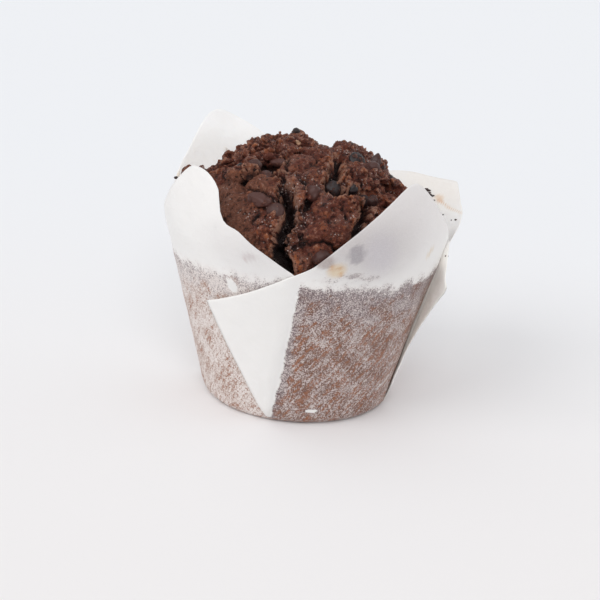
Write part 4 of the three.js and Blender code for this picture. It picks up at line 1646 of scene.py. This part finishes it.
    def _cracks(self, points: Array) -> Array:
        """How deep each point sinks into the cracks.

        Args:
            points: Points of the crust.

        Returns:
            Millimetres inwards, one number a point.
        """
        depth = np.zeros(len(points))
        warp = np.stack([self.noise.fractal(points / 3.0 + k, 3) for k in (0, 31, 67)], -1) * 1.3
        for crack in CRACKS:
            knots = self.dome.at(*np.array(crack.line, float).T)
            best = np.full(len(points), 99.0)
            for a, b in zip(knots[:-1], knots[1:]):
                along = np.clip((points + warp - a) @ (b - a) / np.sum((b - a) ** 2), 0, 1)
                near = points + warp - a - along[:, None] * (b - a)
                normal = self.dome.normal(a)
                near = near - (near @ normal)[:, None] * normal
                best = np.minimum(best, np.linalg.norm(near, axis=1))
            open_ = 1 - smooth(best, crack.half * 0.35, crack.half * 1.6)
            depth = np.maximum(depth, crack.depth * open_)
        return depth

    def _inside(self, points: Array) -> Array:
        """Hold points inside the paper's wall.

        Args:
            points: Points of the cake.

        Returns:
            The points, moved towards the axis where they lie too far out.
        """
        radius = np.hypot(points[:, 0], points[:, 1])
        limit = self.cup.radius_at(np.minimum(points[:, 2], self.held_height)) - self.wall_gap
        share = np.minimum(1.0, limit / np.maximum(radius, 1e-6))
        share = np.where(points[:, 2] < self.free_height, share, 1.0)
        return points * np.stack([share, share, np.ones_like(share)], -1)

    def _close(self, points: Array, quads: Array) -> tuple[Array, list]:
        """Close the merged skin with the body that stands in the case.

        Args:
            points: The skin's vertices.
            quads: Its faces.

        Returns:
            The vertices, with the body's after the skin's, and all faces.
        """
        edges = side_ends(quads)
        code = edges[:, 0] * len(points) + edges[:, 1]
        back = edges[:, 1] * len(points) + edges[:, 0]
        follow = dict(edges[~np.isin(code, back)].tolist())
        start = min(follow, key=lambda v: points[v, 0])
        rim = [start]
        while follow[rim[-1]] != start:
            rim.append(follow[rim[-1]])
        turn = np.degrees(np.arctan2(points[rim, 1], points[rim, 0]))
        count = len(rim)
        levels = [(self.cup.radius_at(z) - self.body_inset, z) for z in self.body_levels]
        levels += [(self.cup.base_radius - inset, z) for inset, z in self.foot]
        body = np.concatenate([polar(turn, r, z) for r, z in levels])
        rings = [np.array(rim)] + [len(points) + i * count + np.arange(count)
                                   for i in range(len(levels))]
        faces = quads.tolist()
        for upper, lower in zip(rings[:-1], rings[1:]):
            faces += np.stack([np.roll(upper, -1), upper, lower, np.roll(lower, -1)], -1).tolist()
        faces.append(rings[-1].tolist())
        return np.concatenate([points, body]), faces

    def build(self, material: bpy.types.Material) -> bpy.types.Object:
        """Make the cake.

        Args:
            material: The crumb.

        Returns:
            The object.
        """
        lobes = self._all_lobes()
        points, quads = self._merge(self._lumps(lobes, np.random.default_rng(self.crumb_seed)))
        points = neighbour_mean(points, quads, 1)
        normals = point_normals(points, quads)
        crumbly, wet = self._crust_at(points, lobes).T
        points = points + normals * self._torn(points, crumbly)[:, None]
        points = points - self.dome.normal(points) * self._cracks(points)[:, None]
        points = self._inside(points)
        level = self.dome.level(points)
        fields = {"height": level - neighbour_mean(level, quads, 24),
                  "ridge": level - neighbour_mean(level, quads, 4),
                  "level": level, "gloss": wet, "crumbly": crumbly}
        points, faces = self._close(points, quads)
        below = np.zeros(len(points) - len(level))
        return make_object("cake_crumb", points, faces, material,
                           {key: np.append(values, below) for key, values in fields.items()})


# ---------------------------------------------------------------- chocolate drops
@dataclass(frozen=True)
class Drop:
    """A chocolate drop: place on the dome, half width, and how dark it is."""

    azimuth: float
    distance: float          # from the dome's axis
    size: float
    tone: float = 0.2
    flat: float = 0.85       # its height over its width
    long: float = 1.0        # how far it is drawn out


DROPS = (
    Drop(-135, 18.9, 1.8, 0.25, 1.0), Drop(-124, 11.9, 2.3, 0.0, 0.5, 1.25),
    Drop(-113, 28.2, 2.7, 0.0, 0.45, 1.3), Drop(-103, 29.8, 2.3, 0.3, 0.5, 1.1),
    Drop(-146, 20.7, 2.4, 1.0, 0.9, 1.1), Drop(145, 11.1, 1.2, 0.6), Drop(103, 12.4, 1.2, 0.9),
    Drop(-82, 24.2, 2.2, 0.15, 1.1), Drop(-66, 21.5, 2.3, 0.95, 0.9), Drop(-54, 23.3, 1.5, 0.95),
    Drop(-12, 15.2, 2.6, 0.95, 0.7), Drop(32, 14.6, 1.5, 0.4), Drop(8, 20.1, 1.9, 0.35, 1.3),
    Drop(6, 22.0, 1.2, 0.6, 1.5), Drop(-22, 20.2, 2.1, 0.2, 0.9), Drop(-11, 24.5, 1.0, 0.9),
    Drop(-49, 26.5, 1.6, 0.85), Drop(-45, 27.7, 1.7, 0.6), Drop(-80, 36.5, 2.5, 0.3, 0.6),
    Drop(5, 24.8, 1.0, 0.4), Drop(-120, 20.3, 1.9, 0.3, 0.4), Drop(120, 3.3, 1.0, 2.0, 0.5, 1.3),
)


@dataclass(frozen=True)
class PaperCrumb:
    """A crumb of chocolate on the paper: petal, azimuth, slant height and half length."""

    petal: Corner
    azimuth: float
    slant: float
    size: float
    layer: Layer = Layer.PETAL


CRUMBS = (
    PaperCrumb(Corner.RIGHT_BACK, -317.4, 58.3, 0.6),
    PaperCrumb(Corner.RIGHT_BACK, -318.5, 58.1, 0.7),
    PaperCrumb(Corner.RIGHT_BACK, -319.6, 57.8, 0.7),
    PaperCrumb(Corner.RIGHT_BACK, -320.8, 57.4, 0.7),
    PaperCrumb(Corner.RIGHT_BACK, -322.0, 57.0, 0.6),
    PaperCrumb(Corner.RIGHT_BACK, -325.4, 56.0, 0.5),
    PaperCrumb(Corner.RIGHT_BACK, -326.2, 54.8, 0.4),
    PaperCrumb(Corner.RIGHT_BACK, -331.6, 53.3, 0.5),
    PaperCrumb(Corner.RIGHT_BACK, -334.2, 52.7, 0.5),
    PaperCrumb(Corner.RIGHT_BACK, -336.9, 52.6, 0.5),
    PaperCrumb(Corner.RIGHT_BACK, -344.8, 52.3, 0.3),
    PaperCrumb(Corner.RIGHT_BACK, -347.4, 52.7, 0.4),
    PaperCrumb(Corner.LEFT_BACK, -200.9, 58.6, 0.7),
    PaperCrumb(Corner.LEFT_BACK, -202.0, 58.4, 0.6),
    PaperCrumb(Corner.RIGHT_BACK, -371.4, 47.2, 0.5, Layer.MIDDLE),
)


@dataclass
class ChocolateDrops:
    """All drops on the top and all crumbs on the paper, one mesh."""

    dome: Dome = field(default_factory=Dome)
    noise: Noise = field(default_factory=lambda: Noise(77))
    tries: int = 400
    reach: float = 36.0                   # how far from the dome's axis drops lie
    spacing: float = 5.5                  # between the middles of scattered drops
    seed: int = 9
    crest: tuple = (0.0, -0.92, 0.39)     # the way the face that the named drops cover looks
    sunk: float = 0.4                     # how deep its middle lies, over its half height
    lean: float = 0.35                    # how far it leans at random
    peak: float = 0.3                     # height of its tip, over its half width
    rough: float = 0.14                   # how uneven it is
    fineness: int = 4

    def _all_drops(self) -> list[Drop]:
        """The named drops, and more where the dome faces the back.

        Returns:
            All drops, the named ones first.
        """
        draws = Draws(self.seed)
        drops = list(DROPS)
        spots = [self.dome.at(d.azimuth, d.distance) for d in drops]
        for _ in range(self.tries):
            azimuth = draws.between(-15, 200)
            distance = self.reach * math.sqrt(draws.between(0.02, 1))
            place = self.dome.at(azimuth, distance)
            behind = self.dome.normal(place) @ np.array(self.crest) < -0.3
            if behind and clearance(place, spots) > self.spacing:
                spots.append(place)
                size = draws.between(1.5, 2.6)
                drops.append(Drop(azimuth, distance, size, len(drops) * 0.37 % 1.0,
                                  draws.between(0.5, 1.0)))
        return drops

    def _drop(self, drop: Drop, number: int, tree: BVHTree, rng: np.random.Generator) -> Array:
        """Shape a drop and set it on the cake's own surface.

        Args:
            drop: The drop.
            number: Picks its unevenness.
            tree: The cake's surface, in metres.
            rng: Where its lean is drawn from.

        Returns:
            The vertices of its ball, in millimetres.
        """
        ball, _ = Ball.get(self.fineness)
        place = self.dome.at(drop.azimuth, drop.distance)
        normal = self.dome.normal(place)
        hit = tree.ray_cast(Vector((place + normal * 12) * MM), Vector(-normal))[0]
        high = -1.0 if hit is None else max(-1.0, (np.array(hit) / MM - place) @ normal)
        tilt = unit(normal + rng.normal(size=3) * self.lean)
        peak = np.exp(-((1 - ball[:, 2]) / 0.35)) * self.peak * drop.flat
        shape = ball * np.array([drop.long, 1 / drop.long, drop.flat]) * drop.size
        shape[:, 2] += peak * drop.size
        swell = 1 + self.rough * self.noise.fractal(ball * 1.1 + number * 5.1, 2)
        sink = tilt * drop.size * drop.flat * self.sunk
        turned = (shape * swell[:, None]) @ basis_on(tilt, [0.3, 0.8, 0.1])
        return place + normal * high - sink + turned

    def _crumb(self, heap: Heap, grid: dict[str, Array], crumb: PaperCrumb) -> None:
        """Add a crumb that lies on the paper.

        Args:
            heap: The heap.
            grid: The sheet.
            crumb: The crumb.
        """
        turns = (grid["azimuth"] - crumb.azimuth + 180) % 360 - 180
        away = np.abs(turns) * 0.6 + np.abs(grid["slant"] - crumb.slant)
        away = np.where((grid["petal"] == crumb.petal) & (grid["layer"] == crumb.layer), away, 999)
        place = grid["at"][np.unravel_index(np.argmin(away), away.shape)]
        inward = unit(np.array([0, 0, place[2]]) - place) * (1 - 2 * crumb.layer)
        ball, faces = Ball.get(2)
        swell = 1 + 0.35 * self.noise.value(ball * 1.7 + crumb.azimuth)
        shape = ball * swell[:, None] * np.array([1.0, 0.75, 0.6]) * crumb.size
        heap.add(place + inward * crumb.size * 0.4 + shape, faces, np.array([0.7]))

    def build(self, cake: bpy.types.Object, paper: PaperCase, material: bpy.types.Material
              ) -> bpy.types.Object:
        """Set the drops into the cake and the loose crumbs on the paper.

        Args:
            cake: The cake they sit in.
            paper: The case that the crumbs lie on.
            material: The chocolate.

        Returns:
            The object.
        """
        tree = BVHTree.FromPolygons([v.co for v in cake.data.vertices],
                                    [p.vertices[:] for p in cake.data.polygons])
        rng = np.random.default_rng(self.seed)
        heap = Heap()
        for i, drop in enumerate(self._all_drops()):
            points = self._drop(drop, i, tree, rng)
            heap.add(points, Ball.get(self.fineness)[1], np.array([drop.tone]))
        grid = paper.loop()
        for crumb in CRUMBS:
            self._crumb(heap, grid, crumb)
        points, joined, tones = heap.joined()
        return make_object("chocolate_drops", points, joined, material, {"tone": tones[:, 0]})


# ---------------------------------------------------------------- studio
@dataclass(frozen=True)
class Viewpoint:
    """Where the camera stands, in millimetres, and how it is turned."""

    distance: float = 636.0
    elevation: float = 23.0
    roll: float = 4.0
    lens: float = 131.04
    target: tuple[float, float, float] = (-0.53, 0.0, 27.24)

    def build(self) -> None:
        """Make the camera and make it the scene's."""
        data = bpy.data.cameras.new("camera")
        data.lens = self.lens
        data.sensor_width = 36.0
        data.clip_start = 0.05
        data.clip_end = 20.0
        e, r = math.radians(self.elevation), math.radians(self.roll)
        eye = np.array([0, -self.distance * math.cos(e), self.distance * math.sin(e)])
        look = unit(np.array(self.target) - eye)
        right = unit(np.cross(look, [0, 0, 1]))
        up = np.cross(right, look)
        across = right * math.cos(r) + up * math.sin(r)
        upward = up * math.cos(r) - right * math.sin(r)
        camera = bpy.data.objects.new("camera", data)
        axes = Matrix([list(across) + [0], list(upward) + [0], list(-look) + [0], [0, 0, 0, 1]])
        camera.matrix_world = Matrix.Translation(Vector(eye * MM)) @ axes.transposed()
        bpy.context.scene.camera = link(camera)


@dataclass(frozen=True)
class Lamp:
    """A broad distant light: where it comes from, strength, spread and colour."""

    name: str
    place: tuple[float, float, float]
    strength: float
    spread: float
    colour: tuple[float, float, float] = (1.0, 1.0, 1.0)
    shadow: bool = True

    def build(self) -> None:
        """Make the light."""
        data = bpy.data.lights.new(self.name, "SUN")
        data.energy = self.strength
        data.angle = math.radians(self.spread)
        data.color = self.colour
        data.use_shadow = self.shadow
        lamp = link(bpy.data.objects.new(self.name, data))
        lamp.location = self.place
        lamp.rotation_euler = (-lamp.location).to_track_quat("-Z", "Y").to_euler()


@dataclass
class Studio:
    """A pale floor under soft light from the left and a weak fill from the front."""

    floor_side: float = 6.0
    sky: tuple[float, float, float] = (1.0, 1.0, 1.01)
    sky_strength: float = 0.68
    lamps: tuple[Lamp, ...] = (
        Lamp("key", (-1.0, -0.75, 1.05), 0.73, 38.0),
        Lamp("fill", (0.1, -1.0, 0.85), 0.53, 24.0, (0.97, 0.98, 1.0)),
        Lamp("rim", (1.0, 0.5, 0.4), 0.42, 40.0, (1.0, 0.98, 0.96), False),
        Lamp("catchlight", (-0.35, -1.0, 1.0), 0.1, 4.0, (1.0, 1.0, 1.0), False),
    )

    def build(self, material: bpy.types.Material) -> None:
        """Make floor, sky and lamps.

        Args:
            material: The floor's finish.
        """
        half = self.floor_side / 2 / MM
        corners = np.array([(-half, -half, 0), (half, -half, 0), (half, half, 0), (-half, half, 0)])
        floor = make_object("studio_floor", corners, [[0, 1, 2, 3]], material,
                            smooth_shading=False)
        world = bpy.data.worlds.new("sky")
        world.use_nodes = True
        back = world.node_tree.nodes["Background"]
        back.inputs["Color"].default_value = (*self.sky, 1.0)
        back.inputs["Strength"].default_value = self.sky_strength
        bpy.context.scene.world = world
        for lamp in self.lamps:
            lamp.build()
        bpy.context.scene.view_settings.view_transform = "Standard"


def main() -> None:
    """Build the whole scene in order."""
    logging.basicConfig(level=logging.INFO, format="%(message)s")
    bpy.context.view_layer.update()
    Studio().build(FloorFinish().build())
    Viewpoint().build()
    case = PaperCase()
    paper = case.build(PaperFinish().build())
    LOG.info("paper %d faces", len(paper.data.polygons))
    cake = Cake().build(CakeFinish().build())
    LOG.info("cake %d faces", len(cake.data.polygons))
    drops = ChocolateDrops().build(cake, case, DropFinish().build())
    LOG.info("drops %d faces", len(drops.data.polygons))
    for piece, node, slot in ((paper, "paper_case", "greaseproof_paper"),
                              (cake, "muffin", "chocolate_cake"), (drops, "muffin", None)):
        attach(piece, ROOT)
        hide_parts(node)


if __name__ == "__main__":
    main()
